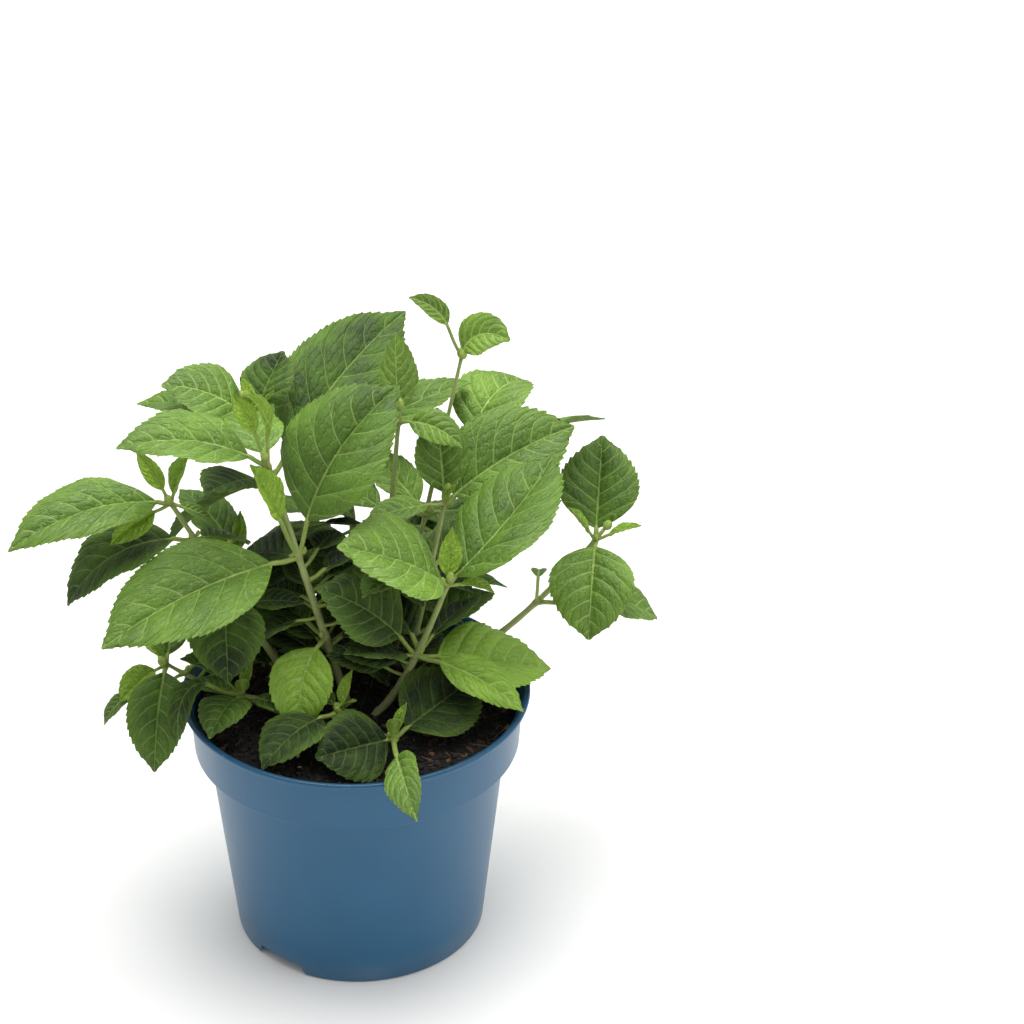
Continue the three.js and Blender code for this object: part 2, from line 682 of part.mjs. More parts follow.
function makePot() {
  const lipFoot = POT_HEIGHT - LIP_HEIGHT;
  const cornerCut = BASE_ROUNDING * (1 - Math.SQRT1_2);
  const outer = [
    [0, 0],
    [GUTTER_INNER_RADIUS - WALL, 0],
    [GUTTER_INNER_RADIUS, GUTTER_HEIGHT],
    [GUTTER_OUTER_RADIUS, GUTTER_HEIGHT],
    [GUTTER_OUTER_RADIUS + GUTTER_SLOPE, 0],
    [BASE_RADIUS - BASE_ROUNDING, 0],
    [BASE_RADIUS - cornerCut, cornerCut],
    [BASE_RADIUS, BASE_ROUNDING],
    [WALL_TOP_RADIUS, COLLAR_FOOT_HEIGHT],
    [COLLAR_FOOT_RADIUS, COLLAR_FOOT_HEIGHT],
    [COLLAR_TOP_RADIUS, lipFoot],
    [LIP_RADIUS, lipFoot + LIP_SLOPE],
    [LIP_RADIUS, POT_HEIGHT - LIP_EDGE],
    [LIP_RADIUS - LIP_EDGE, POT_HEIGHT],
    [LIP_RADIUS - LIP_TOP_WIDTH, POT_HEIGHT],
  ];
  const inner = [
    [COLLAR_TOP_RADIUS - WALL, lipFoot],
    [COLLAR_FOOT_RADIUS - WALL, COLLAR_FOOT_HEIGHT + WALL],
    [WALL_TOP_RADIUS - WALL, COLLAR_FOOT_HEIGHT - WALL],
    [BASE_RADIUS - WALL, FLOOR_TOP],
    [GUTTER_INNER_RADIUS + WALL, FLOOR_TOP],
    [GUTTER_INNER_RADIUS - WALL, WALL],
    [0, WALL],
  ];
  let pot = turned([...outer, ...inner]);
  for (let i = 0; i < DRAIN_COUNT; i += 1) {
    const angle = (i / DRAIN_COUNT) * 2 * Math.PI;
    const drill = new THREE.CylinderGeometry(DRAIN_RADIUS, DRAIN_RADIUS, WALL * 3, DRAIN_SIDES);
    drill.rotateX(Math.PI / 2);
    const centre = [Math.cos(angle) * DRAIN_RING_RADIUS, Math.sin(angle) * DRAIN_RING_RADIUS];
    drill.translate(...centre, GUTTER_HEIGHT + WALL / 2);
    pot = pot.subtract(geometryToManifold(drill));
  }
  for (const heading of NOTCH_HEADINGS) {
    const notch = new THREE.BoxGeometry(NOTCH_REACH, NOTCH_WIDTH, NOTCH_HEIGHT * 2);
    const corners = notch.getAttribute("position");
    for (let i = 0; i < corners.count; i += 1) {
      if (corners.getZ(i) < 0) corners.setY(i, corners.getY(i) * NOTCH_SPREAD);
    }
    notch.translate(BASE_RADIUS, 0, 0);
    notch.rotateZ(heading * RADIANS);
    pot = pot.subtract(geometryToManifold(notch));
  }
  return pot;
}

function makeSoil() {
  const wallInside = (z) => {
    const rise = (z - FLOOR_TOP) / (COLLAR_FOOT_HEIGHT - WALL - FLOOR_TOP);
    return BASE_RADIUS - WALL + (WALL_TOP_RADIUS - BASE_RADIUS) * rise;
  };
  const bottom = FLOOR_TOP + GAP;
  const shoulder = COLLAR_FOOT_HEIGHT - WALL;
  const clear = GAP * 2;
  return turned([
    [0, bottom],
    [wallInside(bottom) - clear, bottom],
    [wallInside(shoulder) - clear, shoulder],
    [COLLAR_FOOT_RADIUS - WALL - clear, COLLAR_FOOT_HEIGHT + WALL],
    [COLLAR_FOOT_RADIUS - WALL, SOIL_TOP - SOIL_EDGE_DROP],
    [COLLAR_FOOT_RADIUS - WALL - SOIL_EDGE_WIDTH, SOIL_TOP],
    [0, SOIL_TOP],
  ]);
}

// Where a shoot's bare limb ends and its leafy part begins
function limbEnd(shoot) {
  const length = Math.hypot(shoot.reach, shoot.height);
  return Math.max(shoot.nodes[0] - BARE_BELOW_NODE / length, shoot.nodes[0] / 2);
}

function makeLimb(shoot) {
  return toManifold(stemSolid(shoot, 0, limbEnd(shoot), STEM_STEPS));
}

function makeFoliage(shoot) {
  const end = limbEnd(shoot);
  const from = end + GAP / Math.hypot(...stemRun(shoot, end));
  let mass = toManifold(stemSolid(shoot, from, 1, STEM_STEPS));
  for (const leaf of shoot.grown) {
    mass = mass.add(toManifold(stalkSolid(leaf, 0))).add(toManifold(bladeSolid(leaf, 0)));
  }
  const bySize = mass.decompose().sort((a, b) => b.volume() - a.volume());
  return bySize[0];
}

const POT_PLASTIC = { color: 0x3d6488, roughness: 0.42, metalness: 0 };
const SOIL_PEAT = { color: 0x2a1f18, roughness: 0.95, metalness: 0 };
const STEM_GREEN = { color: 0x7d9a52, roughness: 0.6, metalness: 0 };
const LEAF_GREEN = { color: 0x4c7a2e, roughness: 0.5, metalness: 0 };

const plant = new THREE.Group();

function addPiece(name, solid, look) {
  const mesh = new THREE.Mesh(toGeometry(solid), new THREE.MeshStandardMaterial(look));
  mesh.name = name;
  plant.add(mesh);
}

addPiece("pot", makePot(), POT_PLASTIC);
addPiece("soil", makeSoil(), SOIL_PEAT);
for (const shoot of SHOOTS) {
  addPiece(`stem_${shoot.name}`, makeLimb(shoot), STEM_GREEN);
  addPiece(`foliage_${shoot.name}`, makeFoliage(shoot), LEAF_GREEN);
}

export default plant;
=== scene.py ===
"""Young bigleaf hydrangea in a plastic nursery pot, with leaves, stems, soil and pot in full detail."""
import math
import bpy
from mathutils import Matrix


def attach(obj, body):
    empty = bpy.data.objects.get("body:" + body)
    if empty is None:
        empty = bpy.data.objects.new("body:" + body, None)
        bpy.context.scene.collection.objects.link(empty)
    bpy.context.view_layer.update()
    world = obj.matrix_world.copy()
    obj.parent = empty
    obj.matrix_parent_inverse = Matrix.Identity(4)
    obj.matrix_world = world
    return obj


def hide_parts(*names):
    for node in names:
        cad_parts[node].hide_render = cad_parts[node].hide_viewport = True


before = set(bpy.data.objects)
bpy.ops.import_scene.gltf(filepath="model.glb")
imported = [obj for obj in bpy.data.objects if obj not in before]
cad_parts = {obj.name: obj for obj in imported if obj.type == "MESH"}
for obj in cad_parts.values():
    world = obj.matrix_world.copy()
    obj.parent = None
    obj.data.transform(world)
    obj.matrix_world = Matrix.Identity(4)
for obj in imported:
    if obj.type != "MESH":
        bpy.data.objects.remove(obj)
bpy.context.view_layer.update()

from types import SimpleNamespace

import bpy
import bmesh
import numpy as np
from mathutils import Matrix, Vector

# Lengths are in millimetres and angles in degrees, up to the point where a mesh is made.
# Headings turn anticlockwise seen from above: 0 is +X, 90 is +Y. Rises are above the horizontal.
MM = 0.001
BODY = "root"

# Camera
CAMERA_PLACE = (0.0, -1.3172, 1.0084)
CAMERA_TURN = 3.66
CAMERA_PITCH = 29.69
CAMERA_ROLL = 0.51
CAMERA_LENS = 101.04
CAMERA_SENSOR = 36

# Pot
GAP = 0.3
POT_HEIGHT = 149
WALL = 2
BASE_RADIUS = 69.6
BASE_ROUNDING = 1
WALL_TOP_RADIUS = 81.8
COLLAR_FOOT_RADIUS = 89.2
COLLAR_FOOT_HEIGHT = 116.5
COLLAR_TOP_RADIUS = 90.8
LIP_RADIUS = 95
LIP_HEIGHT = 5.5
LIP_SLOPE = 3
LIP_EDGE = 0.8
LIP_TOP_WIDTH = 2.6
GUTTER_HEIGHT = 6.8
GUTTER_INNER_RADIUS = 40
GUTTER_OUTER_RADIUS = 65.5
GUTTER_SLOPE = 1
FLOOR_TOP = GUTTER_HEIGHT + WALL
DRAIN_RADIUS = 4.5
DRAIN_RING_RADIUS = 50.5
DRAIN_COUNT = 6
NOTCH_REACH = 17
NOTCH_WIDTH = 28
NOTCH_HEIGHT = 6.6
NOTCH_HEADINGS = (229, 49)
NOTCH_SIDE = [(5, -1), (4.6, -0.03), (2.6, 0.16), (1.2, 0.5), (0.2, 0.88), (-0.8, 1)]
POT_SIDES = 192

# Soil
SOIL_TOP = 133
SOIL_RADIUS = COLLAR_FOOT_RADIUS - WALL - GAP

# Leaf blades and stems as the growth rule sees them
BLADE_THICKNESS = 0.011
BLADE_THINNEST = 0.6
BLADE_WIDTH = 0.56
BLADE_FOLD = 12
BLADE_BASE_POWER = 0.7
BLADE_TIP_POWER = 0.95
BLADE_STATIONS = (0.02, 0.14, 0.4, 0.72, 1)
SMALL_BLADE_STATIONS = (0.02, 0.34, 1)
SMALL_BLADE = 40
BLADE_TIP_WIDTH = 0.8
BLADE_DROOP = 30
MIDRIB_STEPS = 24
STALK_SIDES = 3
STALK_RADIUS = 1.25
SMALL_STALK_RADIUS = 0.875
STALK_SHARE = 0.15
STALK_TAPER = (1, 0.9, 0.6)
STALK_SUNK = 0.12
STEM_SIDES = 6
STEM_STEPS = 4
STEM_TIP_TAPER = 0.55
STEM_SLOPE_STEP = 0.01
ASIDE = (0.001, 1, 0)
BARE_BELOW_NODE = 9

# Growth of the leaves
CROWN_CENTRE = (-4, 20, 205)
CROWN_REACH = (165, 118, 150)
RIM_CLEARANCE = 2
LEAF_CLEARANCE = 0.5
STALK_START = 4
SMALL_SHIFTS = (0, 5, -5, 10, -10)
TURN_TRIES = (0, 14, -14, 28, -28, 42, -42)
RISE_TRIES = (0, 14, -14)
YOUNG_LEAVES = 2
GROWN = SimpleNamespace(turn=30, blade=(0.78, 0.3), rise=(5, 16), rise_along=30, droop=(25, 35), roll=24)
YOUNG = SimpleNamespace(blade=(15, 10), width=0.42, rise=(62, 18), droop=10, turn=45)


def leaf(node, heading, rise, blade, **more):
    """One leaf of a shoot's row: its pair's number, posture and length."""
    return dict(node=node, heading=heading, rise=rise, blade=blade, **more)


def shoot(name, foot, heading, reach, height, bow, radius, nodes, turn, blade, leaves=()):
    """One shoot: where it leaves the soil, where it goes and the places of its leaf pairs."""
    return SimpleNamespace(name=name, foot=foot, heading=heading, reach=reach, height=height, bow=bow,
                           radius=radius, nodes=nodes, turn=turn, blade=blade, leaves=leaves, grown=[])


SHOOTS = [
    shoot("front_left", (-5, 7), 190, 40, 158, 1, 2.5,
          (0.28, 0.61, 0.97), 0, 70, [
        leaf(0, 232, -20, 48, stalk=8, width=36, droop=60, sweep=45),
        leaf(0, 140, 16, 50, stalk=14, width=38, droop=30, roll=-20),
        leaf(1, 208, 3, 103, stalk=16, width=60, droop=30, roll=-20),
        leaf(1, 20, 76, 90, stalk=22, width=64, droop=56, sweep=16, roll=21),
        leaf(1, 212, 68, 42, stalk=28, width=22, droop=3, roll=-56, young=True),
        leaf(1, 120, -20, 63, stalk=8, width=34, droop=10, roll=-30),
        leaf(2, 191, 36, 72, stalk=12, width=42, droop=50, roll=-12),
        leaf(2, 95, 15, 50, stalk=10, width=32, droop=30),
        leaf(2, 160, 70, 24, stalk=20, width=12, droop=20, roll=-60, young=True),
        leaf(2, 225, 87, 33, stalk=16, width=15, droop=50, roll=-50, young=True),
    ]),
    shoot("front_right", (9, -4), 350, 42, 88, 0.7, 2.4,
          (0.45, 0.97), 0, 80, [
        leaf(0, 14, -13, 68, stalk=12, width=54, droop=8, roll=9),
        leaf(0, 336, -6, 54, stalk=14, width=25, droop=36, roll=20),
        leaf(0, 174, 53, 54, stalk=14, width=46, droop=40, roll=-25),
        leaf(0, 205, 20, 39, stalk=6, width=31, droop=5, roll=10),
        leaf(1, 204, 46, 66, stalk=4, width=62, droop=36, sweep=-19, roll=-17),
        leaf(1, 19, 43, 88, stalk=6, width=58, droop=20, sweep=40),
        leaf(1, 67, 80, 27, stalk=5, width=14, droop=10, roll=30, young=True),
        leaf(1, 355, 5, 19, stalk=7, width=12, droop=40, young=True),
    ]),
    shoot("left", (-30, 12), 177, 66, 124, 1, 2.3,
          (0.6, 0.82, 1), 20, 64, [
        leaf(0, 272, -20, 48, stalk=10, width=42, droop=50),
        leaf(0, 95, -25, 48, droop=20),
        leaf(1, 208, 14, 72, stalk=12, width=40, droop=80, roll=-10),
        leaf(1, 50, -15, 42, droop=30),
        leaf(2, 204, 19, 86, stalk=8, width=44, droop=50, roll=-10),
        leaf(2, 0, -20, 20, stalk=5, width=14, droop=20),
        leaf(2, 330, 72, 30, stalk=6, width=14, droop=10, roll=60, young=True),
        leaf(2, 213, -12, 30, stalk=10, width=16, droop=20, roll=-50, young=True),
        leaf(2, 162, 62, 26, stalk=8, width=11, droop=10, roll=-60, young=True),
    ]),
    shoot("back_left", (-15, 35), 145, 50, 160, 1.1, 2.2,
          (0.3, 0.72, 0.92), 60, 70, [
        leaf(1, 46, 42, 109, stalk=18, width=58, droop=29, roll=25),
        leaf(1, 185, -10, 62, stalk=8, width=43, droop=50, roll=30),
        leaf(1, 230, 25, 42, stalk=14, width=37, droop=25),
        leaf(2, 164, 16, 59, stalk=8, width=34, droop=30),
        leaf(2, 187, 58, 48, stalk=8, width=40, droop=50, roll=-20),
        leaf(2, 60, 48, 36, stalk=8, width=32, droop=20),
    ]),
    shoot("sprig", (20, 46), 5, 40, 190, 1, 1.7,
          (0.25, 0.5, 1), 30, 50, [
        leaf(2, 336, 78, 34, stalk=3, width=24, droop=110, roll=50),
        leaf(2, 176, 73, 27, stalk=20, width=12, droop=60, roll=-50, fold=30),
    ]),
    shoot("middle_back", (12, 40), 15, 15, 163, 1, 2,
          (0.35, 0.6, 0.95), 0, 56, [
        leaf(2, 336, 12, 34, stalk=6, width=20, droop=60, roll=30),
        leaf(2, 94, 80, 44, stalk=5, width=26, droop=10, roll=30),
    ]),
    shoot("middle_right", (25, 12), 35, 32, 118, 1, 2.2,
          (0.28, 0.6, 0.95), 10, 66, [
        leaf(2, 22, 35, 78, stalk=6, width=56, droop=30, roll=35),
        leaf(2, 206, 8, 36, stalk=10, width=24, droop=20),
        leaf(2, 100, 72, 46, stalk=6, width=30, droop=10),
    ]),
    shoot("back_right", (32, 50), 42, 44, 122, 1, 2.2,
          (0.6, 0.95), 120, 70, [
        leaf(0, 190, 0, 44, droop=30),
        leaf(0, 100, 0, 50, droop=30),
        leaf(1, 10, 22, 70, stalk=12, width=38, droop=30, roll=-30),
        leaf(1, 50, 60, 56, stalk=12, width=46, droop=90),
    ]),
    shoot("right", (22, 22), 19, 125, 75, 0.54, 2.1,
          (0.48, 0.92), 0, 60, [
        leaf(0, 358, 5, 42, stalk=30, width=40, droop=50),
        leaf(0, 83, 20, 18, stalk=18, width=9, droop=80),
        leaf(1, 81, 52, 54, stalk=6, width=46, droop=10),
        leaf(1, 261, -21, 55, stalk=5, width=48, droop=50),
        leaf(1, 347, 28, 20, stalk=8, width=10, droop=10, young=True),
        leaf(1, 171, 49, 20, stalk=6, width=12, droop=0, young=True),
    ]),
    shoot("low_left", (-45, 12), 184, 58, 28, 0.6, 1.8,
          (0.75, 1), 0, 40, [
        leaf(0, 200, -12, 24, stalk=30, width=14, droop=60),
        leaf(1, 262, -14, 58, stalk=6, width=34, droop=60),
        leaf(1, 112, 10, 26, stalk=4, width=16, droop=10, young=True),
        leaf(1, 222, -8, 26, stalk=7, width=18, droop=30, roll=-30, young=True),
    ]),
    shoot("low_front_left", (-38, -2), 190, 24, 15, 0.8, 1.6,
          (1,), 0, 34, [
        leaf(0, 164, 12, 25, stalk=6, width=16, droop=20),
        leaf(0, 250, 20, 42, stalk=8, width=28, droop=50),
        leaf(0, 330, 8, 26, stalk=8, width=18, droop=20),
        leaf(0, 195, 55, 29, stalk=17, width=20, droop=40),
        leaf(0, 230, 38, 46, stalk=30, width=15, droop=150, sweep=50),
    ]),
    shoot("low_front", (12, -25), 287, 24, 13, 1, 1.6,
          (1,), 0, 40, [
        leaf(0, 44, 10, 58, stalk=10, width=46, droop=6, roll=24),
        leaf(0, 200, 1, 41, stalk=3, width=42, droop=4, roll=-36),
        leaf(0, 272, 18, 51, stalk=33, width=23, droop=54, sweep=18, roll=44),
    ]),
    shoot("low_front_stub", (-3, -17), 225, 9, 15, 1, 1.6,
          (1,), 0, 36, [
        leaf(0, 236, 12, 47, stalk=15, width=34, droop=50),
        leaf(0, 130, 20, 22, stalk=5, width=12),
    ]),
    shoot("back", (2, 48), 95, 45, 128, 1.1, 2.3,
          (0.3, 0.62, 0.92), 10, 78),
    shoot("far_right", (38, 50), 55, 45, 90, 1.1, 2.2,
          (0.45, 0.92), 60, 70, [
        leaf(0, 80, 5, 56),
        leaf(0, 165, 5, 50),
        leaf(1, 70, 15, 66),
    ]),
    shoot("far_left", (-32, 46), 140, 45, 62, 1.1, 2.2,
          (0.45, 0.92), 40, 66),
]


# Growth rule

def direction(heading, rise):
    """Unit vectors along headings and rises."""
    h, r = np.broadcast_arrays(np.radians(heading), np.radians(rise))
    return np.stack([np.cos(r) * np.cos(h), np.cos(r) * np.sin(h), np.sin(r)], axis=-1)


def unit(vectors):
    return vectors / np.linalg.norm(vectors, axis=-1, keepdims=True)


WORD = 0xFFFFFFFF


def seeded_random(seed):
    """Random numbers from 0 to 1 that are the same for every run."""
    state = seed & WORD

    def draw():
        nonlocal state
        state = (state + 0x6D2B79F5) & WORD
        mixed = ((state ^ (state >> 15)) * (state | 1)) & WORD
        turned = ((mixed ^ (mixed >> 7)) * (mixed | 61)) & WORD
        mixed = ((mixed + turned) & WORD) ^ mixed
        return (mixed ^ (mixed >> 14)) / (WORD + 1)
    return draw


def solid_from_rings(rings, end_faces, crossed):
    """Points and triangles of a closed solid through rings of points."""
    count = len(rings[0])
    faces = []
    for ring in range(len(rings) - 1):
        for side in range(count):
            a = ring * count + side
            b = ring * count + (side + 1) % count
            if side in crossed:
                faces += [(a, b, a + count), (b, b + count, a + count)]
            else:
                faces += [(a, b, b + count), (a, b + count, a + count)]
    last = (len(rings) - 1) * count
    for a, b, c in end_faces:
        faces += [(a, c, b), (last + a, last + b, last + c)]
    return np.concatenate(rings), np.array(faces)


def limb_rings(centres, radii, ways, sides):
    """Rings of points round a limb's centres, square to its ways."""
    angles = np.arange(sides) / sides * 2 * math.pi
    rings = []
    for centre, radius, way in zip(centres, radii, ways):
        side = unit(np.cross(way, ASIDE))
        other = np.cross(way, side)
        rings.append(centre + radius * (np.outer(np.cos(angles), side) + np.outer(np.sin(angles), other)))
    return rings


def limb_solid(centres, radii, ways, sides):
    fan = [(0, i + 1, i + 2) for i in range(sides - 2)]
    return solid_from_rings(limb_rings(centres, radii, ways, sides), fan, ())


def blade_outline(u):
    """Half the blade's width along its midrib, as a share of its greatest half width."""
    peak = BLADE_BASE_POWER / (BLADE_BASE_POWER + BLADE_TIP_POWER)
    greatest = peak ** BLADE_BASE_POWER * (1 - peak) ** BLADE_TIP_POWER
    return u ** BLADE_BASE_POWER * (1 - u) ** BLADE_TIP_POWER / greatest


def midrib(blade):
    """The midrib's points: it starts at the end of the stalk and droops evenly."""
    middle = (np.arange(MIDRIB_STEPS) + 0.5) / MIDRIB_STEPS
    ways = direction(blade.heading + blade.sweep * middle, blade.rise - blade.droop * middle)
    start = blade.root + direction(blade.heading, blade.rise) * blade.stalk
    steps = np.cumsum(ways * blade.blade / MIDRIB_STEPS, axis=0)
    return start + np.vstack([np.zeros(3), steps])


def blade_frames(blade, u):
    """The midrib's points at places u, with the way to the left edge and the upward side there."""
    line = midrib(blade)
    knots = np.linspace(0, 1, MIDRIB_STEPS + 1)
    point = np.stack([np.interp(u, knots, line[:, axis]) for axis in range(3)], axis=-1)
    along = direction(blade.heading + blade.sweep * u, blade.rise - blade.droop * u)
    level = direction(blade.heading + blade.sweep * u + 90, 0 * u)
    above = np.cross(along, level)
    roll = math.radians(blade.roll)
    left = level * math.cos(roll) + above * math.sin(roll)
    return point, left, np.cross(along, left)


BLADE_END_FACES = [(0, 1, 4), (0, 4, 5), (1, 2, 3), (1, 3, 4)]
BLADE_UNDERSIDES = (3, 4)


def blade_solid(blade, spare):
    """The coarse blade that the tests of room use."""
    thickness = max(blade.blade * BLADE_THICKNESS, BLADE_THINNEST) + spare
    fold = math.radians(blade.fold)
    stations = np.array(SMALL_BLADE_STATIONS if blade.blade < SMALL_BLADE else BLADE_STATIONS)
    rings = []
    for point, left, up, outline in zip(*blade_frames(blade, stations), blade_outline(stations)):
        half = max(blade.width / 2 * outline, BLADE_TIP_WIDTH / 2) + spare / 2
        lift, reach, top = up * half * math.sin(fold), left * half * math.cos(fold), up * thickness / 2
        edge, far_edge = point + reach + lift, point - reach + lift
        rings.append(np.array([edge + top, point + top, far_edge + top,
                               far_edge - top, point - top, edge - top]))
    return solid_from_rings(rings, BLADE_END_FACES, BLADE_UNDERSIDES)


def stalk_solid(blade, start):
    along = direction(blade.heading, blade.rise)
    foot = blade.root + along * blade.stalk
    sunk = blade_frames(blade, np.array([STALK_SUNK]))[0][0]
    ways = [along, along, unit(sunk - foot)]
    radii = [blade.stalk_radius * share for share in STALK_TAPER]
    return limb_solid([blade.root + along * start, foot, sunk], radii, ways, STALK_SIDES)


def stem_point(grower, t):
    """A place on a shoot's stem, from 0 at the soil to 1 at the tip."""
    out = direction(grower.heading, 0)
    side = grower.reach * t ** grower.bow
    return np.array([grower.foot[0] + out[0] * side, grower.foot[1] + out[1] * side,
                     SOIL_TOP + GAP + grower.height * t])


def stem_radius(grower, t):
    return grower.radius * (1 - (1 - STEM_TIP_TAPER) * t)


def stem_run(grower, t):
    """How far a stem runs for a small step of its place, as a vector."""
    low, high = max(t - STEM_SLOPE_STEP, 0), t + STEM_SLOPE_STEP
    return (stem_point(grower, high) - stem_point(grower, low)) / (high - low)


def stem_solid(grower, start, end, steps):
    places = [start + (end - start) * i / steps for i in range(steps + 1)]
    ways = [unit(stem_run(grower, t)) if t else np.array([0.0, 0, 1]) for t in places]
    return limb_solid([stem_point(grower, t) for t in places], [stem_radius(grower, t) for t in places],
                      ways, STEM_SIDES)


def complete_leaf(grower, row):
    """Fills in what a leaf's row leaves out."""
    full = dict(stalk=row["blade"] * STALK_SHARE, width=row["blade"] * BLADE_WIDTH, droop=BLADE_DROOP,
                sweep=0, roll=0, fold=BLADE_FOLD, young=False, inner=False, place=grower.nodes[row["node"]],
                stalk_radius=SMALL_STALK_RADIUS if row["blade"] < SMALL_BLADE else STALK_RADIUS,
                root=stem_point(grower, grower.nodes[row["node"]]))
    full.update(row)
    return SimpleNamespace(**full)


def guard_of(solids, own_tip=None):
    """Triangles and edges of solids with their box, for the tests of room between pieces."""
    triangles = np.concatenate([points[faces] for points, faces in solids])
    edges = []
    for points, faces in solids:
        pairs = np.concatenate([faces[:, [0, 1]], faces[:, [1, 2]], faces[:, [2, 0]]])
        edges.append(points[pairs[pairs[:, 0] < pairs[:, 1]]])
    corners = triangles.reshape(-1, 3)
    return SimpleNamespace(triangles=triangles, edges=np.concatenate(edges), low=corners.min(0),
                           high=corners.max(0), own_tip=own_tip)


def segments_meet(edges, triangles):
    start = edges[:, None, 0]
    along = edges[:, None, 1] - start
    a = triangles[None, :, 0]
    ab, ac = triangles[None, :, 1] - a, triangles[None, :, 2] - a
    across = np.cross(along, ac)
    det = (ab * across).sum(-1)
    offset = start - a
    turned = np.cross(offset, np.broadcast_to(ab, offset.shape))
    with np.errstate(divide="ignore", invalid="ignore"):
        u = (offset * across).sum(-1) / det
        v = (along * turned).sum(-1) / det
        t = (ac * turned).sum(-1) / det
        inside = (u >= 0) & (u <= 1) & (v >= 0) & (u + v <= 1) & (t >= 0) & (t <= 1)
    return bool((inside & (np.abs(det) >= 1e-12)).any())


def guards_meet(one, two):
    if (one.low > two.high).any() or (two.low > one.high).any():
        return False
    return segments_meet(one.edges, two.triangles) or segments_meet(two.edges, one.triangles)


def clears_pot(blade):
    """True where a leaf clears the soil and the pot's rim."""
    points, faces = blade_solid(blade, 0)
    middles = [(points[faces[:, i]] + points[faces[:, (i + 1) % 3]]) / 2 for i in range(3)]
    every = np.concatenate([points, *middles])
    radius, z = np.hypot(every[:, 0], every[:, 1]), every[:, 2]
    over_soil = radius < COLLAR_FOOT_RADIUS - WALL - RIM_CLEARANCE
    clear = (z > POT_HEIGHT + RIM_CLEARANCE) | (radius > LIP_RADIUS + RIM_CLEARANCE)
    return bool(np.where(over_soil, z > SOIL_TOP + RIM_CLEARANCE, clear).all())


def inside_crown(blade):
    parts = (midrib(blade) - CROWN_CENTRE) / CROWN_REACH
    return bool((np.linalg.norm(parts, axis=1) < 1).all())


def place_leaf(grower, blade, guards):
    """Keeps a leaf where nothing is in its way."""
    start = min(blade.stalk / 2, STALK_START)
    guard = guard_of([blade_solid(blade, LEAF_CLEARANCE * 2), stalk_solid(blade, start)])
    if any(other.own_tip is not grower and guards_meet(guard, other) for other in guards):
        return False
    guards.append(guard)
    grower.grown.append(blade)
    return True


def try_leaf(grower, row, guards, turns, rises, has_room):
    """Tries a leaf in a few turns and rises, and skips it where none is free."""
    for lift in rises:
        for turn in turns:
            moved = {**row, "heading": row["heading"] + turn, "rise": row["rise"] + lift}
            blade = complete_leaf(grower, moved)
            if has_room(blade) and place_leaf(grower, blade, guards):
                return


def grow_shoot(grower, random, guards):
    """The missing leaves of a shoot's pairs, then the young pair at its tip."""
    def within(span):
        return span[0] + span[1] * random()

    def around(spread):
        return (random() - 0.5) * spread

    def grow(row):
        try_leaf(grower, row, guards, TURN_TRIES, RISE_TRIES, lambda b: inside_crown(b) and clears_pot(b))

    for node, place in enumerate(grower.nodes):
        here = [blade for blade in grower.grown if blade.node == node and not blade.young]
        start = here[0].heading + 180 if len(here) == 1 else grower.turn + 90 * node
        for side in range(len(here), 2):
            grow(leaf(node, start + (0 if here else 180 * side) + around(GROWN.turn),
                      blade=grower.blade * within(GROWN.blade),
                      rise=GROWN.rise_along * place + within(GROWN.rise),
                      droop=within(GROWN.droop), roll=around(GROWN.roll)))
    top = len(grower.nodes) - 1
    if any(blade.node == top and blade.young for blade in grower.grown):
        return
    for side in range(YOUNG_LEAVES):
        length = within(YOUNG.blade)
        grow(leaf(top, grower.turn + YOUNG.turn + side * 270, rise=within(YOUNG.rise), blade=length,
                  width=length * YOUNG.width, droop=YOUNG.droop, young=True))


def limb_end(grower):
    """Where a shoot's bare limb ends and its leafy part begins."""
    length = math.hypot(grower.reach, grower.height)
    return max(grower.nodes[0] - BARE_BELOW_NODE / length, grower.nodes[0] / 2)


def grow_leaves():
    """Every leaf that the limbs carry, and the guards of all of them."""
    guards = []
    for grower in SHOOTS:
        end = limb_end(grower)
        guards.append(guard_of([stem_solid(grower, 0, end, STEM_STEPS)]))
        guards.append(guard_of([stem_solid(grower, end, 1, STEM_STEPS)], own_tip=grower))
    for grower in SHOOTS:
        for row in grower.leaves:
            try_leaf(grower, row, guards, SMALL_SHIFTS, SMALL_SHIFTS, clears_pot)
    for index, grower in enumerate(SHOOTS):
        grow_shoot(grower, seeded_random(index + 1), guards)
    return guards


# Finer twigs inside the crown, which grow on from the limbs with smaller leaves in the shade

TWIG_TRIES = 320
TWIG_REACH = (84, 48, 54)
TWIG_CENTRE = (-6, 32, 174)
TALL_SHOOT = 200
TWIG = SimpleNamespace(place=(0.1, 0.5), blade=(26, 22), rise=(-10, 50), stalk=(5, 16), width=(0.55, 0.15),
                       droop=(20, 40), roll=40)


def deep_inside(blade):
    """True for a leaf that stays in the heart of the crown, above the soil."""
    parts = (midrib(blade) - TWIG_CENTRE) / TWIG_REACH
    return bool((np.linalg.norm(parts, axis=1) < 1).all()) and clears_pot(blade)


def grow_inner_leaves(guards):
    for index, grower in enumerate(SHOOTS):
        random = seeded_random(index + 101)

        def within(span):
            return span[0] + span[1] * random()

        share = min(math.hypot(grower.reach, grower.height) / TALL_SHOOT, 1)
        for _ in range(round(TWIG_TRIES * share)):
            place = within(TWIG.place)
            length = within(TWIG.blade)
            row = leaf(0, 360 * random(), within(TWIG.rise), length, stalk=within(TWIG.stalk),
                       width=length * within(TWIG.width), droop=within(TWIG.droop),
                       roll=TWIG.roll * (random() - 0.5), root=stem_point(grower, place), place=place,
                       inner=True)
            try_leaf(grower, row, guards, (0,), (0,), deep_inside)


grow_inner_leaves(grow_leaves())


# Pieces

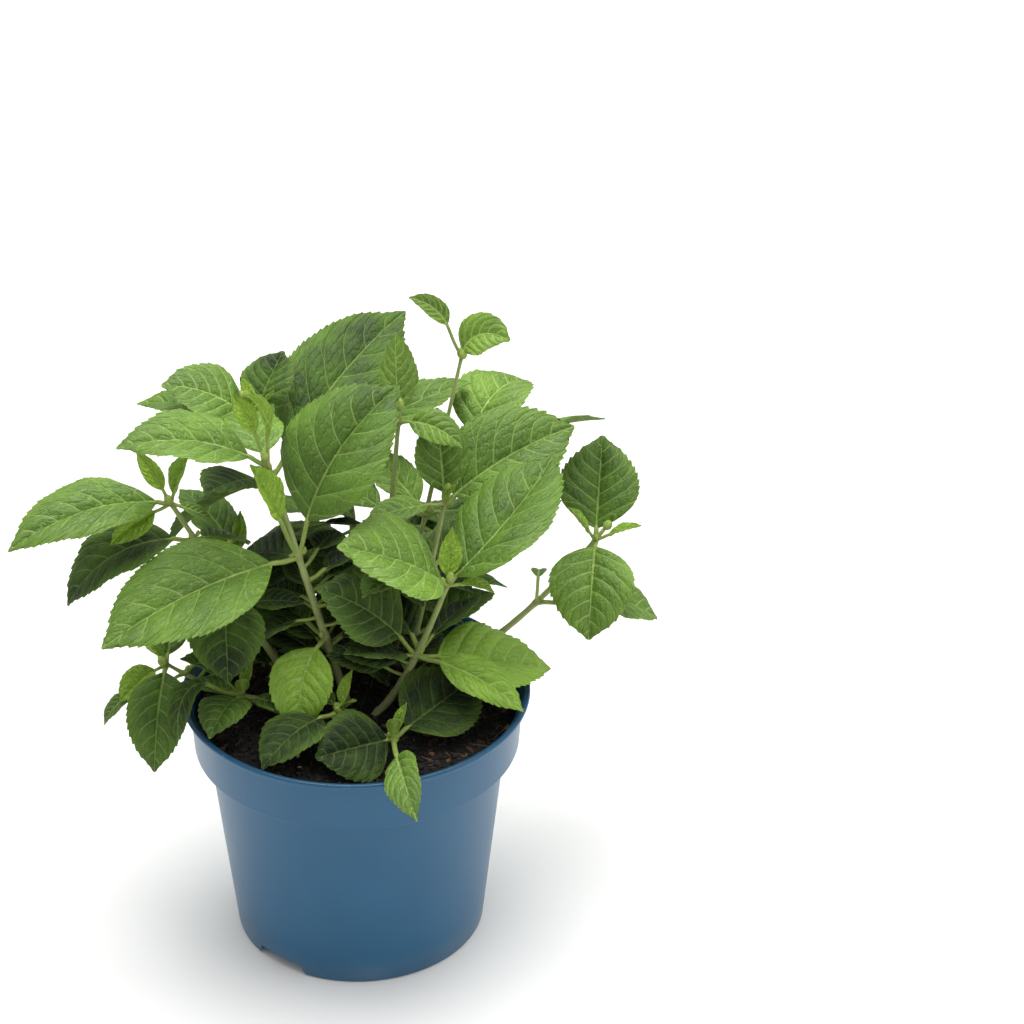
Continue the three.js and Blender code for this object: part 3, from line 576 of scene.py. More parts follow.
class Piece:
    """Gathers the points, faces and marks of one mesh."""

    def __init__(self):
        self.points, self.faces, self.looks, self.marks, self.plots = [], [], [], [], []
        self.count = 0

    def add(self, points, faces, look=0, marks=None, plot=None):
        """points (n, 3), faces (m, 3 or 4); marks {name: (n, 3)}; plot (n, 2) lies flat in millimetres."""
        self.points.append(points)
        self.faces.append(faces + self.count)
        self.looks.append(np.full(len(faces), look))
        self.marks.append(marks or {})
        self.plots.append(plot)
        self.count += len(points)

    def finish(self, name, slot, materials, sharp=None):
        """Makes the mesh and its object, riding on the part's body."""
        mesh = bpy.data.meshes.new(name)
        points = np.concatenate(self.points) * MM
        sizes = np.concatenate([np.full(len(faces), faces.shape[1]) for faces in self.faces])
        corners = np.concatenate([faces.ravel() for faces in self.faces])
        mesh.vertices.add(len(points))
        mesh.vertices.foreach_set("co", points.ravel().astype(np.float32))
        mesh.loops.add(len(corners))
        mesh.loops.foreach_set("vertex_index", corners.astype(np.int32))
        mesh.polygons.add(len(sizes))
        mesh.polygons.foreach_set("loop_start", (np.cumsum(sizes) - sizes).astype(np.int32))
        mesh.polygons.foreach_set("material_index", np.concatenate(self.looks).astype(np.int32))
        mesh.update(calc_edges=True)
        for mark in self.marks[0]:
            values = np.concatenate([marks[mark] for marks in self.marks]).astype(np.float32)
            mesh.attributes.new(mark, "FLOAT_VECTOR", "POINT").data.foreach_set("vector", values.ravel())
        if self.plots[0] is not None:
            flat = lay_out(self.plots)
            layer = mesh.uv_layers.new(name="OFBake")
            layer.data.foreach_set("uv", flat[corners].ravel().astype(np.float32))
        for material in materials:
            mesh.materials.append(material)
        mesh.shade_smooth()
        if sharp:
            mesh.set_sharp_from_angle(angle=math.radians(sharp))
        obj = bpy.data.objects.new(name, mesh)
        bpy.context.scene.collection.objects.link(obj)
        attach(obj, BODY)
        return obj


PLOT_MARGIN = 1.2
PLOT_GROWTH = 1.02


def lay_out(plots):
    """Lays the flat plots out in shelves on the unit square, all to one scale."""
    sizes = np.array([np.ptp(plot, axis=0) + 2 * PLOT_MARGIN for plot in plots])
    order = np.argsort(-sizes[:, 1], kind="stable")
    side = math.sqrt((sizes[:, 0] * sizes[:, 1]).sum())
    while True:
        side *= PLOT_GROWTH
        corners, x, y, shelf = {}, 0, 0, 0
        for index in order:
            wide, tall = sizes[index]
            if x + wide > side:
                x, y, shelf = 0, y + shelf, 0
            corners[index] = (x, y)
            x, shelf = x + wide, max(shelf, tall)
        if y + shelf <= side and sizes.max() <= side:
            break
    return np.concatenate([(plot - plot.min(0) + PLOT_MARGIN + corners[index]) / side
                           for index, plot in enumerate(plots)])


def grid_faces(rows, columns, closed=False):
    """Quads of a grid of points, row after row; closed joins the last column to the first."""
    a = np.arange(rows * columns).reshape(rows, columns)
    b = np.roll(a, -1, axis=1)
    if not closed:
        a, b = a[:, :-1], b[:, :-1]
    return np.stack([a[:-1], b[:-1], b[1:], a[1:]], axis=-1).reshape(-1, 4)


# Leaves: a sheet with a serrated margin, arched between midrib and margin and quilted by its veins

# Counts, shares of the blade's length or half width, millimetres and degrees
VEINS = 6.8
VEIN_CROWDING = 0.92
VEIN_LEAN = 0.34
VEIN_LEAN_RISE = 2.6
VEIN_BEND = 0.45
VEIN_SIDE_STEP = 0.4
VEIN_START = 0.1
LEAN_STEPS = 2001
TOOTH_SPACING = 3.7
FEWEST_TEETH = 8
TOOTH_TIP = 0.78
TOOTH_SHARE = 0.02
LONGEST_TOOTH = 1
TOOTH_INSET = 0.45
TOOTH_FORWARD = 1.1
TEETH_START = (0.07, 0.2)
TEETH_END = (0.97, 1)
MARGIN_START = 0.8
BASE_WEDGE = SimpleNamespace(depth=0.42, length=0.08)
DRAWN_TIP = SimpleNamespace(depth=0.24, place=0.94, length=0.055)
LARGE_BLADE = 70
NARROWING = 2.4
QUILT_DEPTH = 1.0
MIDRIB_GROOVE = SimpleNamespace(depth=0.9, width=1.7)
MARGIN_WAVES = SimpleNamespace(height=0.9, count=2.3)
MARGIN_FLUTTER = SimpleNamespace(height=0.35, count=7.1)
ARCH = 0.11
CRINKLE_WAVES = 5
YOUNG_CRINKLE = SimpleNamespace(height=0.5, size=3.2)
FOLD_SHARE = 0.55
YOUNG_FOLD = 18
FOLD_SPREAD = 5
NARROWEST_HALF = 0.35
RIB = SimpleNamespace(height=1.25, width=1.2, taper=0.75)
SIDE_RIB = SimpleNamespace(height=0.35, width=0.12)
COLUMNS = np.array([0, 0.035, 0.08, 0.15, 0.24, 0.34, 0.45, 0.56, 0.67, 0.78, 0.88, 0.955, 1])
ACROSS = np.concatenate([-COLUMNS[:0:-1], COLUMNS])
LEAF_EDGE = 0.22
LEAF_SHEET = 0.32
LEAF_SHARP = 62
UNDERSIDE_PLOT = 0.8
STRIP_PLOT = 0.6


def smooth(low, high, values):
    """A smooth step from 0 at low to 1 at high."""
    t = np.clip((values - low) / (high - low), 0, 1)
    return t * t * (3 - 2 * t)


def vein_lean(s):
    """How far the side vein that leaves the midrib at s has run forward when it meets the margin."""
    return VEIN_LEAN * VEIN_LEAN_RISE * np.sqrt(s) * (1 - s)


def leaf_grid(blade):
    """Places along and across the blade. Rows of the grid follow the side veins out to the teeth."""
    teeth = max(FEWEST_TEETH, round(blade.blade / TOOTH_SPACING))
    at_margin = (np.arange(teeth)[:, None] + np.array([0, TOOTH_TIP / 2, TOOTH_TIP])).ravel() / teeth
    at_margin = np.append(at_margin, 1)
    s = np.linspace(0, 1, LEAN_STEPS)
    starts = np.interp(at_margin, s + vein_lean(s), s)
    share = np.abs(ACROSS)[None, :]
    forward = (1 - VEIN_BEND) * share + VEIN_BEND * share ** 2
    return starts[:, None], starts[:, None] + vein_lean(starts)[:, None] * forward, teeth


def leaf_outline(u):
    """Half width of a real leaf: a wedge at its base, and a tip that is drawn out."""
    inside = blade_outline(np.clip(u, 1e-6, 1 - 1e-6))
    wedge = 1 - BASE_WEDGE.depth * np.exp(-u / BASE_WEDGE.length)
    return inside * wedge * (1 - DRAWN_TIP.depth * np.exp(-((u - DRAWN_TIP.place) / DRAWN_TIP.length) ** 2))


def leaf_relief(blade, phase, share, half, u, draw):
    """Millimetres from the plain folded blade up to its upper surface, less where the blade is narrow."""
    small = min(blade.blade / LARGE_BLADE, 1) * np.minimum(1, NARROWING * half / blade.width)
    fade = 1 - share ** 5
    grooves = 1 - np.abs(np.sin(math.pi * phase)) ** 0.8
    quilt = -QUILT_DEPTH * small * grooves * fade * smooth(0, VEIN_START, share)
    groove = -MIDRIB_GROOVE.depth * small * np.exp(-(share * half / MIDRIB_GROOVE.width) ** 2)
    turns = 2 * math.pi * (MARGIN_WAVES.count * u + draw[0])
    waves = MARGIN_WAVES.height * small * np.sin(turns) * share ** 3
    turns = 2 * math.pi * (MARGIN_FLUTTER.count * u + draw[1])
    flutter = MARGIN_FLUTTER.height * small * np.sin(turns) * share ** 6
    arch = ARCH * half * 4 * share * (1 - share) * (0.5 + draw[2])
    return quilt + groove + waves + flutter + arch


def crinkle(points, size, draw):
    """Small bumps all over, from sums of waves in space."""
    total = 0
    for k in range(CRINKLE_WAVES):
        way = direction(360 * ((draw[3] * 7 + k * 0.381) % 1), 90 * ((draw[1] * 5 + k * 0.618) % 1) - 30)
        total = total + np.sin(2 * math.pi * (points @ way / size + k * 0.37 + draw[k % 3]))
    return total / CRINKLE_WAVES


def add_leaf(piece, blade, rng):
    """Adds one leaf's upper and lower sheets and the thin strip round its margin."""
    draw = rng.random(6)
    starts, u, teeth = leaf_grid(blade)
    side = ACROSS[None, :]
    share = np.abs(side) + 0 * u
    tooth = (u * teeth) % 1
    tooth = np.where(tooth < TOOTH_TIP + 1e-6, tooth / TOOTH_TIP, (1 - tooth) / (1 - TOOTH_TIP))
    longest = min(TOOTH_SHARE * blade.width, LONGEST_TOOTH)
    tooth_reach = longest * smooth(*TEETH_START, u) * (1 - smooth(*TEETH_END, u))
    at_edge = smooth(MARGIN_START, 1, share)
    half = np.maximum(blade.width / 2 * leaf_outline(u), NARROWEST_HALF)
    half = half + at_edge * tooth_reach * (tooth - TOOTH_INSET)
    forward = at_edge * tooth_reach * TOOTH_FORWARD * (tooth - 0.3)
    reach = share * half
    point, left, up = blade_frames(blade, np.clip(u, 0, 1))
    along = np.cross(left, up)
    young_fold = YOUNG_FOLD if blade.young else 0
    fold = math.radians(FOLD_SHARE * blade.fold + young_fold + FOLD_SPREAD * (draw[4] - 0.5))
    phase = VEINS * starts ** VEIN_CROWDING + np.where(side < 0, VEIN_SIDE_STEP, 0) + draw[5] + 0 * u
    relief = leaf_relief(blade, phase, share, half, u, draw)
    upper = (point + left * (np.sign(side) * reach * math.cos(fold))[..., None]
             + up * (reach * math.sin(fold) + relief)[..., None] + along * forward[..., None])
    if blade.young:
        bumps = YOUNG_CRINKLE.height * crinkle(upper, YOUNG_CRINKLE.size, draw)
        upper = upper + up * (bumps * (1 - share ** 6))[..., None]
    rib_height = RIB.height * min(blade.blade / LARGE_BLADE, 1)
    rib = rib_height * np.exp(-(reach / RIB.width) ** 2) * (1 - RIB.taper * u)
    off_vein = ((phase + 0.5) % 1) - 0.5
    side_ribs = SIDE_RIB.height * np.exp(-(off_vein / SIDE_RIB.width) ** 2)
    side_ribs = side_ribs * smooth(0, VEIN_START, share) * (1 - share ** 5)
    deep = np.where(share > 0.99, LEAF_EDGE, LEAF_SHEET) + (rib + side_ribs) * (1 - at_edge)
    lower = upper - up * deep[..., None]
    rows, columns = u.shape
    young = 2 if blade.young else 0
    marks = {
        "leaf_place": np.stack([phase, share, reach], -1).reshape(-1, 3),
        "leaf_size": np.stack([starts + 0 * u, np.full_like(u, blade.blade / VEINS),
                               np.full_like(u, draw[0])], -1).reshape(-1, 3),
        # The third mark carries the leaf's lightness, which is partly painted shade.
        "leaf_tone_and_shade": np.tile([blade.shade, draw[2], blade.blade / 100], (u.size, 1)),
    }
    plot = np.stack([u * blade.blade, np.sign(side) * reach], -1).reshape(-1, 2)
    faces = grid_faces(rows, columns)
    piece.add(upper.reshape(-1, 3), faces[:, ::-1], young, marks, plot)
    piece.add(lower.reshape(-1, 3), faces, young + 1, marks, plot * UNDERSIDE_PLOT)
    rim = np.concatenate([np.arange(rows) * columns, (rows - 1) * columns + np.arange(1, columns),
                          (np.arange(rows - 2, -1, -1)) * columns + columns - 1,
                          np.arange(columns - 2, 0, -1)])
    strip = np.concatenate([upper.reshape(-1, 3)[rim], lower.reshape(-1, 3)[rim]])
    around = np.arange(len(rim))
    after = np.roll(around, -1)
    quads = np.stack([around, after, after + len(rim), around + len(rim)], -1)
    strip_marks = {mark: np.concatenate([values[rim]] * 2) for mark, values in marks.items()}
    strip_plot = np.stack([np.tile(around * STRIP_PLOT, 2), np.repeat([0, LEAF_EDGE], len(rim))], -1)
    strip_plot = strip_plot % [blade.blade * STRIP_PLOT, 10]
    piece.add(strip, quads, young + 1, strip_marks, strip_plot)


LEAF_PIECES = {
    "leaves_front_left": ["front_left"],
    "leaves_front_right": ["front_right", "middle_right", "low_front", "low_front_stub"],
    "leaves_left": ["left", "back_left", "low_left", "low_front_left"],
    "leaves_back": ["back", "far_left", "far_right"],
    "leaves_right": ["sprig", "middle_back", "back_right", "right"],
}


# How light the leaves are that stand out, by shoot, length and width, from 0 for dark to 1 for light: partly
# each leaf's own tone, partly painted shade on leaves that lie in the crown's shade
LEAF_SHADES = {
    ("front_left", 103, 60): 0.5, ("front_left", 90, 64): 0.35, ("front_left", 72, 42): 0.5,
    ("front_left", 48, 36): 0.95, ("front_left", 50, 38): 0.15, ("front_left", 63, 34): 0.05,
    ("front_right", 68, 54): 0.9, ("front_right", 54, 25): 0.85, ("front_right", 54, 46): 0.2,
    ("front_right", 39, 31): 0.05, ("front_right", 66, 62): 0.6, ("front_right", 88, 58): 0.4,
    ("left", 86, 44): 0.5, ("left", 72, 40): 0.2, ("left", 48, 42): 0.15, ("back_left", 109, 58): 0.25,
    ("back_left", 62, 43): 0.1, ("back_left", 42, 37): 0.1, ("back_left", 36, 32): 0.15,
    ("low_front", 58, 46): 0.0, ("low_front", 41, 42): 0.0, ("low_front", 51, 23): 0.5,
    ("low_front_stub", 47, 34): 0.05, ("right", 54, 46): 0.3, ("right", 55, 48): 0.5,
    ("low_left", 58, 34): 0.3,
}


# Lightness by rule, partly the leaves' own tone and partly painted light and shade: lighter high in the
# crown, darker on the inner twigs
SHADE = SimpleNamespace(low=0.25, rise=0.35, crown=200, spread=0.3, young=0.3, inner=-0.45)


def shade_of(grower, blade, rng):
    """How light a leaf is: older leaves low in the crown are darker, young ones at the tips lighter. The lift
    with height and the darkening of the inner twigs' leaves are partly painted light and shade.
    """
    height = (midrib(blade)[-1, 2] - SOIL_TOP) / SHADE.crown
    own = SHADE.young if blade.young else (SHADE.inner if blade.inner else 0)
    shade = SHADE.low + SHADE.rise * height + SHADE.spread * (rng.random() - 0.5) + own
    return float(np.clip(LEAF_SHADES.get((grower.name, blade.blade, blade.width), shade), 0, 1))


def make_leaves(materials):
    for number, (name, shoots) in enumerate(LEAF_PIECES.items()):
        rng = np.random.default_rng(100 + number)
        piece = Piece()
        for grower in SHOOTS:
            if grower.name in shoots:
                for blade in grower.grown:
                    blade.shade = shade_of(grower, blade, rng)
                    add_leaf(piece, blade, rng)
        obj = piece.finish(name, "leaf", materials, sharp=LEAF_SHARP)
        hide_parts(*["foliage_" + shoot_name for shoot_name in shoots])


# Stems and leaf stalks: round tubes, swollen where the leaf pairs sit

TUBE_SIDES = 14
STEM_DETAIL = 1.6
NODE_SWELLING = 0.3
NODE_LENGTH = 2.6
STEM_WAVES = SimpleNamespace(depth=0.03, length=2.1)
STEM_SUNK = 3
STEM_END = 2.2
STALK_DETAIL = 1.5
STALK_SAG = 0.05
STALK_STOUTNESS = 1.12
STALK_GROOVE = 0.3
CLASP = SimpleNamespace(swelling=0.45, length=2.6, mark=3)
UNDER_MIDRIB = np.array([0.03, 0.07, 0.13])
UNDER_DEPTHS = np.array([0.55, 0.75, 0.95])
UNDER_RADII = np.array([0.85, 0.65, 0.35])
BUD_LENGTH = 4.2
BUD_STOUTNESS = 0.36
BUD_SPAN = (0.12, 0.86)
BUD_POWER = 0.8
BUD_THINNEST = 0.05
BUD_RINGS = 7
BUD_RISE = 62
BARK_SHARP = 70
# What the bark's mark says of a limb: 0 to 1 along a stem, then these for stalks and buds
STALK_KIND = (1.2, 0.4)
BUD_KIND = 1.7
END_BUD_LENGTH = 1.5 * BUD_LENGTH


def add_tube(piece, centres, radii, kind, groove=None):
    """Adds a closed tube. kind is two rows of numbers for its marks: the kind of limb and the knots on it."""
    centres, radii = np.asarray(centres), np.asarray(radii)
    ways = unit(np.gradient(centres, axis=0))
    angles = np.arange(TUBE_SIDES) / TUBE_SIDES * 2 * math.pi
    side = unit(np.cross(ways, ASIDE))
    other = np.cross(ways, side)
    ring = np.cos(angles)[None, :, None] * side[:, None] + np.sin(angles)[None, :, None] * other[:, None]
    spread = radii[:, None] * np.ones_like(angles)
    if groove is not None:
        toward = (ring * groove[:, None]).sum(-1)
        spread = spread * (1 - STALK_GROOVE * np.clip(toward, 0, 1) ** 3)
    points = (centres[:, None] + ring * spread[..., None]).reshape(-1, 3)
    run = np.concatenate([[0], np.cumsum(np.linalg.norm(np.diff(centres, axis=0), axis=1))])
    marks = {"limb_place": np.repeat(np.stack([kind[0], run, kind[1]], -1), TUBE_SIDES, axis=0)}
    plot = np.stack([np.repeat(run, TUBE_SIDES), np.tile(angles * radii.max(), len(centres))], -1)
    piece.add(points, grid_faces(len(centres), TUBE_SIDES, closed=True), 0, marks, plot)
    for end, turn in ((0, 1), (len(centres) - 1, -1)):
        cap = points[end * TUBE_SIDES:(end + 1) * TUBE_SIDES]
        cap = np.vstack([cap, cap.mean(0)])
        numbers = np.arange(TUBE_SIDES)
        faces = np.stack([np.full(TUBE_SIDES, TUBE_SIDES), np.roll(numbers, -1), numbers], -1)[:, ::turn]
        cap_marks = {"limb_place": np.tile(marks["limb_place"][end * TUBE_SIDES], (len(cap), 1))}
        cap_plot = np.stack([np.cos(angles), np.sin(angles)], -1) * radii[end]
        piece.add(cap, faces, 0, cap_marks, np.vstack([cap_plot, [0, 0]]))


def add_stem(piece, grower, rng):
    """The whole stem from under the soil's crumbs to its tip, swollen at its nodes."""
    length = math.hypot(grower.reach, grower.height)
    t = np.linspace(0, 1, max(8, round(length / STEM_DETAIL)))
    centres = np.array([stem_point(grower, place) for place in t])
    swelling = sum(np.exp(-((t - node) * length / NODE_LENGTH) ** 2) for node in grower.nodes)
    radii = np.array([stem_radius(grower, place) for place in t])
    radii = radii * (1 + NODE_SWELLING * np.minimum(swelling, 1))
    radii = radii * (1 + STEM_WAVES.depth * np.sin(t * length / STEM_WAVES.length + rng.random() * 6))
    centres[0, 2] -= STEM_SUNK
    tip = np.clip((t * length - length + STEM_END) / STEM_END, 0, 1)
    radii = radii * np.sqrt(np.clip(1 - tip ** 2, 0.04, 1))
    add_tube(piece, centres, radii, (t, swelling))


def add_stalk(piece, blade, rng):
    """A leaf's stalk: broad where it clasps the stem, grooved above, running on under the midrib."""
    along = direction(blade.heading, blade.rise)
    steps = max(5, round(blade.stalk / STALK_DETAIL))
    share = np.linspace(0, 1, steps)
    straight = blade.root + np.outer(share * blade.stalk, along)
    straight[:, 2] -= STALK_SAG * blade.stalk * np.sin(math.pi * share) ** 2
    point, _, up = blade_frames(blade, UNDER_MIDRIB)
    radius = blade.stalk_radius * STALK_STOUTNESS
    low = point - up * (radius * UNDER_DEPTHS)[:, None]
    centres = np.vstack([straight, low])
    run = share * blade.stalk
    clasping = radius * (1 + CLASP.swelling * np.exp(-(run / CLASP.length) ** 2))
    radii = np.concatenate([clasping, radius * UNDER_RADII])
    above = np.cross(along, direction(blade.heading + 90, 0))
    groove = np.tile(above, (len(centres), 1))
    knot = np.append(np.exp(-(run / CLASP.mark) ** 2), np.zeros(len(UNDER_MIDRIB)))
    kind = np.full(len(centres), STALK_KIND[0] + STALK_KIND[1] * rng.random())
    add_tube(piece, centres, radii, (kind, knot), groove)


def add_bud(piece, root, way, size):
    """A small pointed bud."""
    share = np.linspace(0, 1, BUD_RINGS)
    swell = np.sin(math.pi * np.clip(share * BUD_SPAN[1] + BUD_SPAN[0], 0, 1)) ** BUD_POWER
    centres = root + np.outer(share * size, way)
    kind = (np.full(BUD_RINGS, BUD_KIND), np.zeros(BUD_RINGS))
    add_tube(piece, centres, size * BUD_STOUTNESS * swell + BUD_THINNEST, kind)


def make_stems(materials):
    rng = np.random.default_rng(7)
    stems, stalks = Piece(), Piece()
    for grower in SHOOTS:
        add_stem(stems, grower, rng)
        for blade in grower.grown:
            add_stalk(stalks, blade, rng)
            if not blade.young and not blade.inner and blade.blade > SMALL_BLADE:
                way = unit(direction(blade.heading, BUD_RISE) + direction(0, 90) * 0.3)
                bark = direction(blade.heading, 10) * stem_radius(grower, grower.nodes[blade.node])
                add_bud(stalks, blade.root + bark + way, way, BUD_LENGTH * (0.7 + 0.5 * rng.random()))
        top = unit(stem_run(grower, 1))
        for turn in (0, 180):
            way = unit(top + 0.35 * direction(grower.turn + 90 + turn, 0))
            add_bud(stalks, stem_point(grower, 0.995), way, END_BUD_LENGTH)
    obj = stems.finish("stems", "stem", materials, sharp=BARK_SHARP)
    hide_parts(*["stem_" + grower.name for grower in SHOOTS])
    stalks.finish("leaf_stalks", "stem", materials, sharp=BARK_SHARP)


# Soil: an uneven bed of peat with bark chips, fibres, crumbs and a few pale grains on it

BED_RINGS = 64
BED_SECTORS = 180
BARK_CHIPS = 620
FIBRES = 420
CRUMBS = 2600
PALE_GRAINS = 14
BED_WAVES = 46
LUMP = SimpleNamespace(shortest=5, spread=26, power=1.6, depth=0.05)
BED_RISE = 0.9
BED_SPAN = (-1.4, 1.8)
BED_GRAIN = 0.35
WALL_DIP = SimpleNamespace(depth=1.2, width=9)
BIT_SHARP = 38


class Bed:
    """The uneven top of the soil."""

    def __init__(self, rng):
        length = LUMP.shortest + LUMP.spread * rng.random(BED_WAVES) ** LUMP.power
        turn = rng.random(BED_WAVES) * 2 * math.pi
        self.ways = np.stack([np.cos(turn), np.sin(turn)], 0) / length
        self.depth = LUMP.depth * length / LUMP.shortest
        self.start = rng.random(BED_WAVES) * 2 * math.pi

    def height(self, x, y):
        places = np.stack([x, y], -1) @ self.ways * 2 * math.pi + self.start
        lumps = (np.sin(places) * self.depth).sum(-1)
        wall = smooth(SOIL_RADIUS - WALL_DIP.width, SOIL_RADIUS, np.hypot(x, y))
        return SOIL_TOP + BED_RISE + np.clip(lumps, *BED_SPAN) - WALL_DIP.depth * wall


def turned_frames(count, rng, tilt):
    """Random frames of three unit vectors, tilted from level by up to tilt."""
    heading = rng.random(count) * 360
    length_way = direction(heading, (rng.random(count) - 0.5) * 2 * tilt)
    level = direction(heading + 90, (rng.random(count) - 0.5) * 2 * tilt)
    up = unit(np.cross(length_way, level))
    return length_way, np.cross(up, length_way), up


BOX_CORNERS = np.array([(x, y, z) for z in (-1, 1) for y in (-1, 1) for x in (-1, 1)], float)
BOX_FACES = np.array([(0, 2, 3, 1), (4, 5, 7, 6), (0, 1, 5, 4), (2, 6, 7, 3), (0, 4, 6, 2), (1, 3, 7, 5)])


def scatter(piece, bed, count, sizes, tilt, looks, rng, corners=BOX_CORNERS, faces=BOX_FACES, rough=0.35):
    """Strews uneven bits over the bed: sizes are half lengths along, across and up."""
    radius = (SOIL_RADIUS - 2) * np.sqrt(rng.random(count))
    angle = rng.random(count) * 2 * math.pi
    x, y = radius * np.cos(angle), radius * np.sin(angle)
    half = sizes(rng, count)
    reach = np.hypot(x, y) + half[:, 0]
    pull = np.minimum(1, (SOIL_RADIUS - 0.5) / reach)
    x, y = x * pull, y * pull
    frames = np.stack(turned_frames(count, rng, tilt), axis=1)
    shape = corners[None] * (1 + rough * (rng.random((count, len(corners), 3)) - 0.5) * 2)
    local = shape * half[:, None, :]
    points = np.einsum("nki,nij->nkj", local, frames)
    centre = np.stack([x, y, bed.height(x, y) + half[:, 2] * 0.5], -1)
    points = points + centre[:, None]
    look = rng.choice(looks, count)
    for kind in np.unique(look):
        chosen = points[look == kind]
        numbers = np.arange(len(chosen))[:, None, None] * len(corners)
        piece.add(chosen.reshape(-1, 3), (faces[None] + numbers).reshape(-1, faces.shape[1]), kind)


def icosphere():
    mesh = bmesh.new()
    bmesh.ops.create_icosphere(mesh, subdivisions=1, radius=1)
    corners = np.array([v.co[:] for v in mesh.verts])
    faces = np.array([[v.index for v in face.verts] for face in mesh.faces])
    mesh.free()
    return corners, faces


def make_soil(peat, bits):
    rng = np.random.default_rng(21)
    bed = Bed(rng)
    rings = np.sqrt(np.linspace(0.0004, 1, BED_RINGS)) * SOIL_RADIUS
    angles = np.arange(BED_SECTORS) / BED_SECTORS * 2 * math.pi
    x, y = np.outer(rings, np.cos(angles)), np.outer(rings, np.sin(angles))
    grain = BED_GRAIN * (rng.random(x.shape) - 0.5)
    points = np.stack([x, y, bed.height(x, y) + grain], -1).reshape(-1, 3)
    middle = np.array([[0, 0, bed.height(np.zeros(1), np.zeros(1))[0]]])
    top = Piece()
    top.add(points, grid_faces(BED_RINGS, BED_SECTORS, closed=True), 0, None, points[:, :2])
    numbers = np.arange(BED_SECTORS)
    hub = np.stack([np.full(BED_SECTORS, BED_SECTORS), numbers, np.roll(numbers, -1)], -1)
    top.add(np.vstack([points[:BED_SECTORS], middle]), hub, 0, None,
            np.vstack([points[:BED_SECTORS, :2], middle[:, :2]]))
    top.finish("soil_bed", "soil", [peat])
    litter = Piece()
    ball, ball_faces = icosphere()

    def chips(r, n):
        return np.stack([1 + 2.8 * r.random(n) ** 2, 0.5 + 1.1 * r.random(n), 0.25 + 0.35 * r.random(n)], -1)

    def fibres(r, n):
        return np.stack([2 + 4 * r.random(n), 0.14 + 0.16 * r.random(n), 0.12 + 0.1 * r.random(n)], -1)

    def crumbs(r, n):
        return (0.45 + 1.1 * r.random(n) ** 2)[:, None] * (0.75 + 0.5 * r.random((n, 3)))

    def grains(r, n):
        return (1.0 + 0.35 * r.random(n))[:, None] * np.ones((n, 3))

    scatter(litter, bed, CRUMBS, crumbs, 90, [0, 0, 0, 0, 1, 1, 1, 2], rng, ball, ball_faces)
    scatter(litter, bed, BARK_CHIPS, chips, 28, [0, 0, 1, 1, 1, 1, 2, 2, 3], rng)
    scatter(litter, bed, FIBRES, fibres, 16, [1, 1, 2, 3], rng)
    scatter(litter, bed, PALE_GRAINS, grains, 10, [4], rng, ball, ball_faces, rough=0.05)
    litter.finish("soil_crumbs", "soil", bits, sharp=BIT_SHARP)
    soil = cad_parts["soil"]
    soil.data.materials.clear()
    soil.data.materials.append(peat)


# Pot: one turned shell with a flat lip, a stepped collar, drain holes and two notches in its foot

CORNER_CUT = 0.9
CORNER_STEPS = 4
DRAIN_SIDES = 28
POT_SHARP = 40


def rounded(profile, cut, steps):
    """The closed profile with each corner that is off the axis rounded."""
    points = [np.array(point, float) for point in profile]
    line = []
    for index, corner in enumerate(points):
        if corner[0] == 0:
            line.append(corner)
            continue
        before, after = points[index - 1], points[(index + 1) % len(points)]
        back, ahead = before - corner, after - corner
        reach = min(cut, 0.42 * np.linalg.norm(back), 0.42 * np.linalg.norm(ahead))
        start, end = corner + unit(back) * reach, corner + unit(ahead) * reach
        for t in np.linspace(0, 1, steps):
            line.append((1 - t) ** 2 * start + 2 * t * (1 - t) * corner + t ** 2 * end)
    return np.array(line)


def pot_profile():
    lip_foot = POT_HEIGHT - LIP_HEIGHT
    corner = BASE_ROUNDING * (1 - math.sqrt(0.5))
    return [
        (0, 0), (GUTTER_INNER_RADIUS - WALL, 0), (GUTTER_INNER_RADIUS, GUTTER_HEIGHT),
        (GUTTER_OUTER_RADIUS, GUTTER_HEIGHT), (GUTTER_OUTER_RADIUS + GUTTER_SLOPE, 0),
        (BASE_RADIUS - BASE_ROUNDING, 0), (BASE_RADIUS - corner, corner), (BASE_RADIUS, BASE_ROUNDING),
        (WALL_TOP_RADIUS, COLLAR_FOOT_HEIGHT), (COLLAR_FOOT_RADIUS, COLLAR_FOOT_HEIGHT + 0.5),
        (COLLAR_TOP_RADIUS, lip_foot), (LIP_RADIUS, lip_foot + LIP_SLOPE),
        (LIP_RADIUS, POT_HEIGHT - LIP_EDGE), (LIP_RADIUS - LIP_EDGE, POT_HEIGHT),
        (LIP_RADIUS - LIP_TOP_WIDTH, POT_HEIGHT), (COLLAR_TOP_RADIUS - WALL, lip_foot),
        (COLLAR_FOOT_RADIUS - WALL, COLLAR_FOOT_HEIGHT + WALL),
        (WALL_TOP_RADIUS - WALL, COLLAR_FOOT_HEIGHT - WALL), (BASE_RADIUS - WALL, FLOOR_TOP),
        (GUTTER_INNER_RADIUS + WALL, FLOOR_TOP), (GUTTER_INNER_RADIUS - WALL, WALL), (0, WALL),
    ]


def turned_mesh(profile, sides):
    """A mesh turned round the pot's axis from a profile that starts and ends on it."""
    mesh = bmesh.new()
    rings = []
    for radius, height in profile:
        if radius == 0:
            rings.append([mesh.verts.new((0, 0, height * MM))])
            continue
        rings.append([mesh.verts.new((radius * math.cos(a) * MM, radius * math.sin(a) * MM, height * MM))
                      for a in (2 * math.pi * k / sides for k in range(sides))])
    for low, high in zip(rings, rings[1:]):
        for k in range(sides):
            j = (k + 1) % sides
            if len(low) == 1:
                mesh.faces.new((low[0], high[j], high[k]))
            elif len(high) == 1:
                mesh.faces.new((low[k], low[j], high[0]))
            else:
                mesh.faces.new((low[k], low[j], high[j], high[k]))
    return mesh


